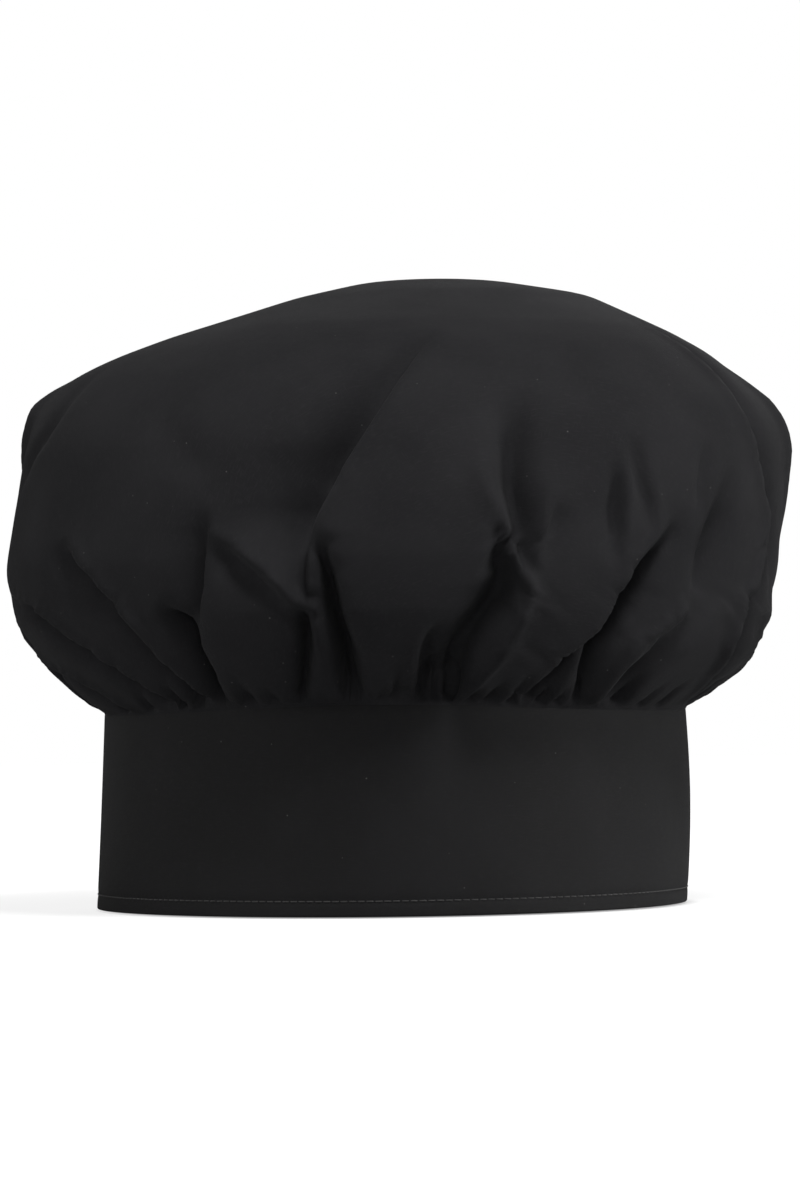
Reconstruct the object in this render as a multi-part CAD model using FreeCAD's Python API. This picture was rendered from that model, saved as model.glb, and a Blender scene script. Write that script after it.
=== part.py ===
"""A floppy chef's toque: a gathered poplin crown sewn into a deep band that closes with hook and loop.

Millimetres, +Z up, front at -Y. The origin is on the surface the band stands on, at the middle of the hat.
Each sub-part is written as one STEP file in parts/.
"""

import FreeCAD, Part
import math
import os

from FreeCAD import Vector

# ---- driving dimensions -------------------------------------------------------------------------

BAND_WIDTH = 180.0  # outside, ear to ear, at the bottom edge
BAND_DEPTH = 204.0  # outside, forehead to nape, at the bottom edge
BAND_HEIGHT = 61.0
BAND_LEAN_IN = 2.0  # the top edge is this much smaller than the bottom edge, all round

CLOTH = 0.40  # one ply of poplin with its pressed turnings
INTERLINING = 0.60
PLY_GAP = 0.05
THREAD = 0.35
SKIN_GAP = 0.06  # between a thread and the cloth that it lies on
MOVING_GAP = 0.30  # between pieces that move against each other
CAUGHT_GAP = 0.005  # between a thread and the plies that hold it
PILE_GAP = 0.02  # between a thread and the pile that it sinks into

SEAM_ALLOWANCE = 9.0  # the gathered edge of the crown, tucked into the band
TOPSTITCH_RISE = 4.2  # the stitch line above the band's bottom edge
THREAD_RISE = 0.45  # a stitch line's height on the cloth
LINING_FOOT = 0.3  # the lining's lower edge stays a little above the shell's
INTERLINING_FOOT = 0.8
SEAM_THREAD_DROP = 2.5  # the seam's line below the band's upper edge
GATHERING_DROPS = (4.5, 7.5)  # the gathering rows, below the same edge

# The closure, in degrees round the oval, counted from +X towards the back at 90.
BACK = 90.0
HINGE = 114.0  # the flap peels open from here
UNDERLAP_END = 109.0  # the band runs all the way round to here, under the flap
FLAP_TIP = 71.0  # the flap's free end
HINGE_CLEARANCE = 0.12  # degrees between the band's end and the flap's root
JOGGLE = 10.0  # degrees over which the flap steps out over the underlap
FULL_TURN = 360.0

LOOP_PILE = 1.20
HOOK_TAPE = 1.00
TAPE_HEIGHT = 38.0
TAPE_FOOT = 13.0  # the tape's lower edge above the band's bottom edge
TAPE_INSET = 2.0  # from the tape's edge to its stitching

CROWN_CLOTH = 1.2  # a plain skin that stands for the gathered cloth
CROWN_START = BAND_HEIGHT + 0.5
CROWN_TOP = 191.0

SLIT_FOOT_HALF = 3.8  # half of the slit's width at the seam
SLIT_TIP_HALF = 0.4
SLIT_HEIGHT = 44.0
BINDING_WIDTH = 5.0
BINDING_STITCH_INSET = 1.0  # from the binding's outer edge to its stitch line
BINDING_START = 2.0  # the binding begins this far above the seam
BAR_TACK_HALF = 3.0
BAR_TACK_HEIGHT = 1.8
BAR_TACK_LIFT = 0.8  # above the slit's tip

LABEL_FROM = 147.0
LABEL_TO = 158.0
LABEL_HEIGHT = 16.0
LABEL_DROP = 1.5  # the ribbon's upper edge below the band's upper edge
LABEL_STITCH_DROP = 3.4

# The crown's level ovals: height, half width, sideways shift, half depth, shift towards the back.
CROWN_OVALS = (
    (65.0, 97.0, 1.5, 109.5, 0.0),
    (74.0, 107.0, 1.5, 119.0, 0.0),
    (86.0, 114.5, 0.0, 126.0, 0.0),
    (102.0, 117.5, -0.5, 129.5, 0.0),
    (120.0, 117.5, 1.5, 128.5, 0.5),
    (138.0, 115.5, 3.0, 123.0, 1.0),
    (152.0, 107.5, 3.5, 112.0, 1.5),
    (164.0, 91.5, 5.5, 95.0, 2.5),
    (175.0, 69.0, 9.0, 72.0, 3.5),
    (184.0, 43.0, 12.0, 45.0, 4.5),
)
CROWN_TIP_SHIFT = (12.0, 4.5)

# ---- levels through the band's thickness, outwards from the lining's inner face ------------------

LINING = (0.0, CLOTH)
STIFFENER = (LINING[1] + PLY_GAP, LINING[1] + PLY_GAP + INTERLINING)
SHELL = (STIFFENER[1] + PLY_GAP, STIFFENER[1] + PLY_GAP + CLOTH)
INSIDE_THREAD = (LINING[0] - SKIN_GAP - THREAD, LINING[0] - SKIN_GAP)
OUTSIDE_THREAD = (SHELL[1] + SKIN_GAP, SHELL[1] + SKIN_GAP + THREAD)
LOOP_LAYER = (SHELL[1] + PLY_GAP, SHELL[1] + PLY_GAP + LOOP_PILE)
LOOP_THREAD = (LOOP_LAYER[1] - THREAD, LOOP_LAYER[1] - PILE_GAP)
HOOK_LAYER = (LOOP_LAYER[1] + MOVING_GAP, LOOP_LAYER[1] + MOVING_GAP + HOOK_TAPE)
FLAP_STEP = HOOK_LAYER[1] + PLY_GAP  # how far out the flap's lining lies
HINGE_LEVEL = SHELL[1] + MOVING_GAP
LABEL_LAYER = (LINING[0] - 0.85, LINING[0] - 0.45)
LABEL_THREAD = (LABEL_LAYER[0] - THREAD, LABEL_LAYER[0] - PILE_GAP)

# The flap stops a little below the seam, so that it swings clear of the crown.
FLAP_TOP = BAND_HEIGHT - 1.0


def oval(angle, height, level):
    """A point of the band: level is the distance outwards from the lining's inner face."""
    shrink = BAND_LEAN_IN * height / BAND_HEIGHT
    half_x = BAND_WIDTH / 2 - SHELL[1] - shrink
    half_y = BAND_DEPTH / 2 - SHELL[1] - shrink
    turn = math.radians(angle)
    out = Vector(math.cos(turn) / half_x, math.sin(turn) / half_y, 0).normalize()
    return Vector(half_x * math.cos(turn), half_y * math.sin(turn), height) + out * level


def no_step(angle):
    return 0.0


def flap_step(angle):
    """How far the flap stands out over the underlap, easing from nothing at the hinge."""
    share = min(1.0, max(0.0, (HINGE - angle) / JOGGLE))
    return FLAP_STEP * share * share * (3 - 2 * share)


def smooth_edge(points):
    curve = Part.BSplineCurve()
    curve.interpolate(points)
    return curve.toShape()


def outline(start, end, levels, height, step):
    """The plan of a strip of the band at one height, as a closed wire."""
    count = max(12, round(abs(end - start) / 3))
    angles = [start + (end - start) * i / count for i in range(count + 1)]
    outer = [oval(a, height, levels[1] + step(a)) for a in angles]
    inner = [oval(a, height, levels[0] + step(a)) for a in reversed(angles)]
    return Part.Wire([
        smooth_edge(outer),
        Part.makeLine(outer[-1], inner[0]),
        smooth_edge(inner),
        Part.makeLine(inner[-1], outer[0]),
    ])


def strip(start, end, levels, foot, top, step=no_step):
    """A strip of cloth, tape or thread that follows the band between two angles and two heights."""
    wires = [outline(start, end, levels, height, step) for height in (foot, top)]
    return Part.makeLoft(wires, True, True)


def frame(start, end, levels, foot, top, width, step=no_step):
    """A rectangle of stitching: a strip with its middle taken out."""
    degrees = math.degrees(width / (BAND_DEPTH / 2))
    inward = degrees if end > start else -degrees
    deeper = (levels[0] - 1, levels[1] + 1)
    middle = strip(start + inward, end - inward, deeper, foot + width, top - width, step)
    return strip(start, end, levels, foot, top, step).cut(middle)


# ---- the crown ----------------------------------------------------------------------------------


def level_oval(height, half_x, shift_x, half_y, shift_y):
    """A level oval wire. Its long axis lies front to back, and the start of the wire is at the back."""
    ring = Part.Ellipse(Vector(shift_x, shift_y + half_y, height), Vector(shift_x + half_x, shift_y, height),
                        Vector(shift_x, shift_y, height))
    return Part.Wire(ring.toShape())


def crown_body(level):
    """The space under the crown's cloth, grown outwards by level."""
    neck_x = BAND_WIDTH / 2 - BAND_LEAN_IN - CLOTH - PLY_GAP
    neck_y = BAND_DEPTH / 2 - BAND_LEAN_IN - CLOTH - PLY_GAP
    wires = [level_oval(CROWN_START, neck_x + level, 0, neck_y + level, 0)]
    for height, half_x, shift_x, half_y, shift_y in CROWN_OVALS:
        lift = level * (height - CROWN_START) / (CROWN_TOP - CROWN_START)
        wires.append(level_oval(height + lift, half_x + level, shift_x, half_y + level, shift_y))
    tip = Part.Vertex(Vector(*CROWN_TIP_SHIFT, CROWN_TOP + level))
    return Part.makeLoft(wires + [tip], True, False)


def crown_skin(inner, outer):
    return crown_body(outer).cut(crown_body(inner))


def slit_middle():
    """Sideways place of the slit, halfway between the two ends of the band."""
    return oval((HINGE + UNDERLAP_END) / 2, BAND_HEIGHT, 0).x


def back_cutter(corners):
    """A prism that reaches through the back of the crown, from its corners as (sideways, height)."""
    middle = slit_middle()
    points = [Vector(middle + x, BAND_DEPTH / 4, z) for x, z in corners]
    return Part.Face(Part.makePolygon(points + points[:1])).extrude(Vector(0, BAND_DEPTH / 2, 0))


def wedge(grow, foot, top):
    """The slit's V shape, grown sideways by grow."""
    tip = SLIT_TIP_HALF + grow
    side = SLIT_FOOT_HALF + grow
    return back_cutter([(-side, foot), (side, foot), (tip, top), (-tip, top)])


SLIT_TIP = CROWN_START + SLIT_HEIGHT


def slit_cutter():
    return wedge(0, CROWN_START - 1, SLIT_TIP)


def crown():
    return crown_skin(-CROWN_CLOTH, 0).cut(slit_cutter())


def slit_binding():
    cover = wedge(BINDING_WIDTH, CROWN_START + BINDING_START, SLIT_TIP + BINDING_WIDTH)
    return crown_skin(PLY_GAP, PLY_GAP + CLOTH).common(cover).cut(slit_cutter())


def slit_binding_stitch():
    on_binding = PLY_GAP + CLOTH + SKIN_GAP
    line = BINDING_WIDTH - BINDING_STITCH_INSET
    path = wedge(line, CROWN_START + BINDING_START + BINDING_STITCH_INSET, SLIT_TIP + line)
    hole = wedge(line - THREAD_RISE, CROWN_START, SLIT_TIP + line - THREAD_RISE)
    return crown_skin(on_binding, on_binding + THREAD).common(path.cut(hole))


def slit_bar_tack():
    on_binding = PLY_GAP + CLOTH + SKIN_GAP
    foot = SLIT_TIP + BAR_TACK_LIFT
    top = foot + BAR_TACK_HEIGHT
    half = BAR_TACK_HALF
    box = back_cutter([(-half, foot), (half, foot), (half, top), (-half, top)])
    return crown_skin(on_binding, on_binding + 2 * THREAD).common(box)


# ---- the band -----------------------------------------------------------------------------------

BAND_FROM = HINGE + HINGE_CLEARANCE
BAND_TO = FULL_TURN + UNDERLAP_END
TURNING = 0.5  # degrees: a pressed turning folds the cloth's end in by this much
TRIM = 0.5  # the interlining is cut short of the crown's tucked edge
TUCK_GAP = 0.1  # the tucked edge is measured from just under the band's upper edge
ROW_INSET = 1.0  # degrees from the band's end to the first hidden stitch


def band_outer():
    return strip(BAND_FROM, BAND_TO, SHELL, 0, BAND_HEIGHT)


def band_lining():
    return strip(BAND_FROM, BAND_TO, LINING, LINING_FOOT, BAND_HEIGHT)


def band_interlining():
    top = BAND_HEIGHT - SEAM_ALLOWANCE - TRIM
    return strip(BAND_FROM + TURNING, BAND_TO - TURNING, STIFFENER, INTERLINING_FOOT, top)


def crown_seam_allowance():
    """The crown's gathered edge, sewn between the band's two plies."""
    foot = BAND_HEIGHT - SEAM_ALLOWANCE
    return strip(BAND_FROM + TURNING, BAND_TO - TURNING, STIFFENER, foot, BAND_HEIGHT - TUCK_GAP)


def thread_row(start, end, levels, rise, step=no_step):
    return strip(start, end, levels, rise, rise + THREAD_RISE, step)


def crown_seam_thread():
    """The seam's thread, where it lies between the shell and the tucked edge."""
    gap = (STIFFENER[1] + CAUGHT_GAP, SHELL[0] - CAUGHT_GAP)
    return thread_row(BAND_FROM + ROW_INSET, BAND_TO - ROW_INSET, gap, BAND_HEIGHT - SEAM_THREAD_DROP)


def gathering_threads():
    """Two rows that draw the crown's edge up to the band's length."""
    gap = (LINING[1] + CAUGHT_GAP, STIFFENER[0] - CAUGHT_GAP)
    ends = (BAND_FROM + ROW_INSET, BAND_TO - ROW_INSET)
    rows = [thread_row(*ends, gap, BAND_HEIGHT - drop) for drop in GATHERING_DROPS]
    return Part.makeCompound(rows)


def topstitch_needle_thread():
    return thread_row(BAND_FROM + TURNING, BAND_TO - TURNING, OUTSIDE_THREAD, TOPSTITCH_RISE)


def topstitch_bobbin_thread():
    return thread_row(BAND_FROM + TURNING, BAND_TO - TURNING, INSIDE_THREAD, TOPSTITCH_RISE)


TAPE_TOP = TAPE_FOOT + TAPE_HEIGHT
LOOP_FROM = FULL_TURN + FLAP_TIP - 8.0  # the pile shows past the flap's tip, for a smaller head
LOOP_TO = BAND_TO - 4.0


def loop_strip():
    tape = strip(LOOP_FROM, LOOP_TO, LOOP_LAYER, TAPE_FOOT, TAPE_TOP)
    return tape.cut(loop_stitching(PILE_GAP))


def loop_stitching(grow):
    inset = math.degrees(TAPE_INSET / (BAND_DEPTH / 2))
    levels = (LOOP_THREAD[0] - grow, LOOP_THREAD[1] + 5 * grow)
    return frame(LOOP_FROM + inset - grow, LOOP_TO - inset + grow, levels,
                 TAPE_FOOT + TAPE_INSET - grow, TAPE_TOP - TAPE_INSET + grow, THREAD_RISE + 2 * grow)


def loop_strip_stitch():
    return loop_stitching(0)


def care_label():
    """A blank folded ribbon, caught in the band's seam at its upper edge."""
    top = BAND_HEIGHT - LABEL_DROP
    return strip(LABEL_FROM, LABEL_TO, LABEL_LAYER, top - LABEL_HEIGHT, top)


def care_label_stitch():
    ends = (LABEL_FROM + TURNING, LABEL_TO - TURNING)
    return thread_row(*ends, LABEL_THREAD, BAND_HEIGHT - LABEL_STITCH_DROP)


# ---- the flap -----------------------------------------------------------------------------------

FLAP_FROM = HINGE - HINGE_CLEARANCE
HOOK_FROM = HINGE - JOGGLE - 4.0
HOOK_TO = FLAP_TIP + 2.5
FLAP_STITCH_FROM = FLAP_FROM - 1.0
FLAP_STITCH_TO = FLAP_TIP + 1.6
FLAP_STITCH_TOP = FLAP_TOP - 2.5


def on_flap(levels, foot, top, start=FLAP_FROM, end=FLAP_TIP):
    return strip(start, end, levels, foot, top, flap_step)


def flap_outer():
    return on_flap(SHELL, 0, FLAP_TOP)


def flap_lining():
    return on_flap(LINING, LINING_FOOT, FLAP_TOP)


def flap_interlining():
    top = FLAP_TOP - INTERLINING_FOOT
    return on_flap(STIFFENER, INTERLINING_FOOT, top, FLAP_FROM - TURNING, FLAP_TIP + TURNING)


def flap_needle_thread():
    """The topstitching runs on along the flap's foot, up its free end and back along its top."""
    return frame(FLAP_STITCH_FROM, FLAP_STITCH_TO, OUTSIDE_THREAD, TOPSTITCH_RISE, FLAP_STITCH_TOP,
                 THREAD_RISE, flap_step)


def flap_bobbin_thread():
    return frame(FLAP_STITCH_FROM, FLAP_STITCH_TO, INSIDE_THREAD, TOPSTITCH_RISE, FLAP_STITCH_TOP,
                 THREAD_RISE, flap_step)


def hook_strip():
    levels = (HOOK_LAYER[0] - FLAP_STEP, HOOK_LAYER[1] - FLAP_STEP)
    return on_flap(levels, TAPE_FOOT, TAPE_TOP, HOOK_FROM, HOOK_TO)


def hook_strip_stitch():
    """The tape's stitching shows on the flap's outer face."""
    inset = math.degrees(TAPE_INSET / (BAND_DEPTH / 2))
    return frame(HOOK_FROM - inset, HOOK_TO + inset, OUTSIDE_THREAD, TAPE_FOOT + TAPE_INSET,
                 TAPE_TOP - TAPE_INSET, THREAD_RISE, flap_step)


NODES = {
    "crown": crown,
    "slit_binding": slit_binding,
    "slit_binding_stitch": slit_binding_stitch,
    "slit_bar_tack": slit_bar_tack,
    "crown_seam_allowance": crown_seam_allowance,
    "crown_seam_thread": crown_seam_thread,
    "gathering_threads": gathering_threads,
    "band_outer": band_outer,
    "band_interlining": band_interlining,
    "band_lining": band_lining,
    "topstitch_needle_thread": topstitch_needle_thread,
    "topstitch_bobbin_thread": topstitch_bobbin_thread,
    "loop_strip": loop_strip,
    "loop_strip_stitch": loop_strip_stitch,
    "care_label": care_label,
    "care_label_stitch": care_label_stitch,
    "flap_outer": flap_outer,
    "flap_interlining": flap_interlining,
    "flap_lining": flap_lining,
    "flap_needle_thread": flap_needle_thread,
    "flap_bobbin_thread": flap_bobbin_thread,
    "hook_strip": hook_strip,
    "hook_strip_stitch": hook_strip_stitch,
}


def main():
    os.makedirs("parts", exist_ok=True)
    for name, make in NODES.items():
        shape = make()
        box = shape.BoundBox
        print(f"{name}: {len(shape.Solids)} solids, valid {shape.isValid()}, {shape.Volume:.1f} mm3, "
              f"x {box.XMin:.2f} to {box.XMax:.2f}, y {box.YMin:.2f} to {box.YMax:.2f}, "
              f"z {box.ZMin:.2f} to {box.ZMax:.2f}")
        shape.exportStep(f"parts/{name}.step")
    pivot = oval(HINGE, 0, HINGE_LEVEL)
    print(f"hinge at x {pivot.x:.3f}, y {pivot.y:.3f}")


main()
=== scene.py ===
# %% [markdown]
# # A floppy chef's toque
# The hat is one big circle of black poplin, gathered into a deep plain band that closes at the back with a
# hook-and-loop flap. The CAD model holds the sizes, the bodies and the hinge. This script makes the cloth,
# thread and tape that stand for its parts.

# %% Setup
import math

import bpy
import numpy as np
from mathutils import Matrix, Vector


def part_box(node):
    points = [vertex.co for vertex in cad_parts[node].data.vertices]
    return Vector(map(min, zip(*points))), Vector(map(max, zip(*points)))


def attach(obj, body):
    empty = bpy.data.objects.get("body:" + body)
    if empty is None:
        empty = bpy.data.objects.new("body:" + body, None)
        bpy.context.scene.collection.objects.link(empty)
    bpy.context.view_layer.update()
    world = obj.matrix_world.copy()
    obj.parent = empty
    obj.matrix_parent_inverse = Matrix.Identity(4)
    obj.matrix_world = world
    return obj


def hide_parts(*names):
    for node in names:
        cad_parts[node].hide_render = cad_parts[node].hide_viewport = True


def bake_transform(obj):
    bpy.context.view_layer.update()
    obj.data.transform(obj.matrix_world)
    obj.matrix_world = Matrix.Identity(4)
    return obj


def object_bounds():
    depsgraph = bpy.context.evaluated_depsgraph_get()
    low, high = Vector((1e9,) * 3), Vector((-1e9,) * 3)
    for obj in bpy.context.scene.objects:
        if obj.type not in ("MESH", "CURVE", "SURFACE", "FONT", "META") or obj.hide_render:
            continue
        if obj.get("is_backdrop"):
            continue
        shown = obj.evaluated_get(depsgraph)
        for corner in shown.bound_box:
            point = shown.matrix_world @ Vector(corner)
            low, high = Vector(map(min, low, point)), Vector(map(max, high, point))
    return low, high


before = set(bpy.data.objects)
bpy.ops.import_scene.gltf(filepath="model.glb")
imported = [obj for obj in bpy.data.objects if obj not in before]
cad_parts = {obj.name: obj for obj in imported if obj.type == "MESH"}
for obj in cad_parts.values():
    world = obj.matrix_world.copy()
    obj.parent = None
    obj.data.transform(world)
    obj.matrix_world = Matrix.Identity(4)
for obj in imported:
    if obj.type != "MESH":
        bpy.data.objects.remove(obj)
CAD_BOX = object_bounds()
MM = 0.001
print("CAD nodes:", len(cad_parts))

# %% [markdown]
# ## Small helpers
# Operators act on whatever is selected, so each step starts with nothing selected. Vertex places are read
# and written as whole arrays, because that is many times faster than one vertex at a time.

# %% Helpers


def deselect_all():
    if bpy.context.object and bpy.context.object.mode != "OBJECT":
        bpy.ops.object.mode_set(mode="OBJECT")
    bpy.ops.object.select_all(action="DESELECT")


def make_active(piece):
    deselect_all()
    piece.select_set(True)
    bpy.context.view_layer.objects.active = piece


def places(piece):
    flat = np.empty(len(piece.data.vertices) * 3)
    piece.data.vertices.foreach_get("co", flat)
    return flat.reshape(-1, 3)


def put(piece, points):
    piece.data.vertices.foreach_set("co", np.ascontiguousarray(points, dtype=np.float32).ravel())
    piece.data.update()


def ease(x):
    """0 below 0, 1 above 1, and a smooth step between."""
    x = np.clip(x, 0.0, 1.0)
    return x * x * (3 - 2 * x)


def soft_interp(x, knots, values, blur):
    """Straight runs between the knots, with their corners rounded over a width of blur."""
    shifts = np.linspace(-blur, blur, 7)
    weights = (1.0, 2.0, 3.0, 4.0, 3.0, 2.0, 1.0)
    return sum(w * np.interp(x + s, knots, values) for w, s in zip(weights, shifts)) / sum(weights)


# %% [markdown]
# ## The crown's outline
# Before any fold, the crown is a stack of level ovals that starts at the band's seam, swells out over it
# and closes at the top. It leans a little to the right and its left shoulder slopes, as soft cloth does.
# Angles are counted from the middle of the front, and grow towards the wearer's left ear, which is on the
# right here.

# %% Crown outline
BAND_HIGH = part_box("band_outer")[1]
BAND_TOP = BAND_HIGH.z / MM
SEAM_INSET = 2.6  # the seam lies this far inside the band's widest outline
SEAM_HALF_WIDTH = BAND_HIGH.x / MM - SEAM_INSET
SEAM_HALF_DEPTH = BAND_HIGH.y / MM - SEAM_INSET

# height, half width, shift to the right, half depth, shift to the back, all in millimetres
CROWN_OVALS = np.array((
    (BAND_TOP, SEAM_HALF_WIDTH, 0.0, SEAM_HALF_DEPTH, 0.0),
    (BAND_TOP + 2.5, 96.0, 1.0, 108.0, 0.0),
    (74.0, 107.0, 1.5, 119.0, 0.0),
    (86.0, 114.0, -0.5, 126.0, 0.0),
    (102.0, 117.0, -0.5, 129.0, 0.0),
    (120.0, 116.5, 2.0, 128.0, 0.5),
    (138.0, 115.5, 3.5, 123.0, 1.0),
    (147.0, 112.5, 3.5, 117.0, 1.0),
    (153.5, 107.5, 2.5, 110.5, 1.5),
    (159.5, 101.0, 3.0, 103.0, 2.0),
    (165.5, 91.5, 5.5, 94.0, 2.5),
    (171.5, 78.5, 8.5, 82.0, 3.0),
    (177.5, 63.0, 12.0, 66.0, 4.0),
    (184.0, 46.0, 15.5, 47.0, 4.5),
    (188.5, 24.0, 13.0, 25.0, 4.5),
    (190.5, 0.0, 12.0, 0.0, 4.5),
))
REACH_KNOTS = np.concatenate(([0.0], np.cumsum(np.hypot(
    np.diff(CROWN_OVALS[:, 0]),
    np.diff((CROWN_OVALS[:, 1] + CROWN_OVALS[:, 3]) / 2)))))
CROWN_REACH = REACH_KNOTS[-1]  # from the seam to the middle of the top, along the cloth
# the gathered cloth weighs on the seam and hangs over the band's edge: angle, and how far in millimetres
SEAM_DROPS = np.array(((-180, 1.0), (-110, 1.4), (-75, 2.6), (-55, 2.6), (-38, 1.6), (-12, 0.6), (12, 1.0),
                       (25, 2.0), (42, 2.8), (60, 3.2), (80, 2.8), (110, 1.4), (180, 1.0)))
DROP_REACH = 12.0  # how far up the cloth the hanging is felt


def seam_drop(angle):
    turned = (np.asarray(angle, float) + 180.0) % 360.0 - 180.0
    return np.interp(turned, SEAM_DROPS[:, 0], SEAM_DROPS[:, 1])


def crown_base(angle, reach):
    """A point of the plain crown, in millimetres: angle in degrees, reach in millimetres from the seam."""
    height, half_x, shift_x, half_y, shift_y = (
        soft_interp(reach, REACH_KNOTS, CROWN_OVALS[:, i], 5.0) for i in range(5))
    half_x = np.where(reach >= CROWN_REACH - 1e-6, 0.0, half_x)
    half_y = np.where(reach >= CROWN_REACH - 1e-6, 0.0, half_y)
    turn = np.radians(angle)
    x = shift_x + half_x * np.sin(turn)
    y = shift_y - half_y * np.cos(turn)
    height = height - seam_drop(angle) * (1 - ease(reach / DROP_REACH))
    return np.stack(np.broadcast_arrays(x, y, height), axis=-1)


def crown_normal(angle, reach):
    step = 0.5  # degrees round the crown, and millimetres up it
    above = np.minimum(reach + step, CROWN_REACH)
    below = np.maximum(reach - step, 0)
    around = crown_base(angle + step, reach) - crown_base(angle - step, reach)
    upward = crown_base(angle, above) - crown_base(angle, below)
    normal = np.cross(around, upward)
    length = np.linalg.norm(normal, axis=-1, keepdims=True)
    return normal / np.maximum(length, 1e-9)


def reach_at(height):
    """How far up the cloth a height is, for a fold that is named by its height."""
    return np.interp(height, CROWN_OVALS[:, 0], REACH_KNOTS)


print(f"crown: {CROWN_REACH:.0f} mm from the seam to the middle of the top")

# %% [markdown]
# ## The folds
# Cloth that is drawn into a shorter edge has to go somewhere: it drops into deep narrow valleys between
# smooth full panels, and each valley runs up from the seam until the crown is wide enough to take the
# cloth. Each fold here is a line up the crown with a width and a depth along it. A negative depth is a
# ridge. The front's folds are listed one by one, and those at the sides and back are drawn at random from
# a fixed seed.

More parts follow.
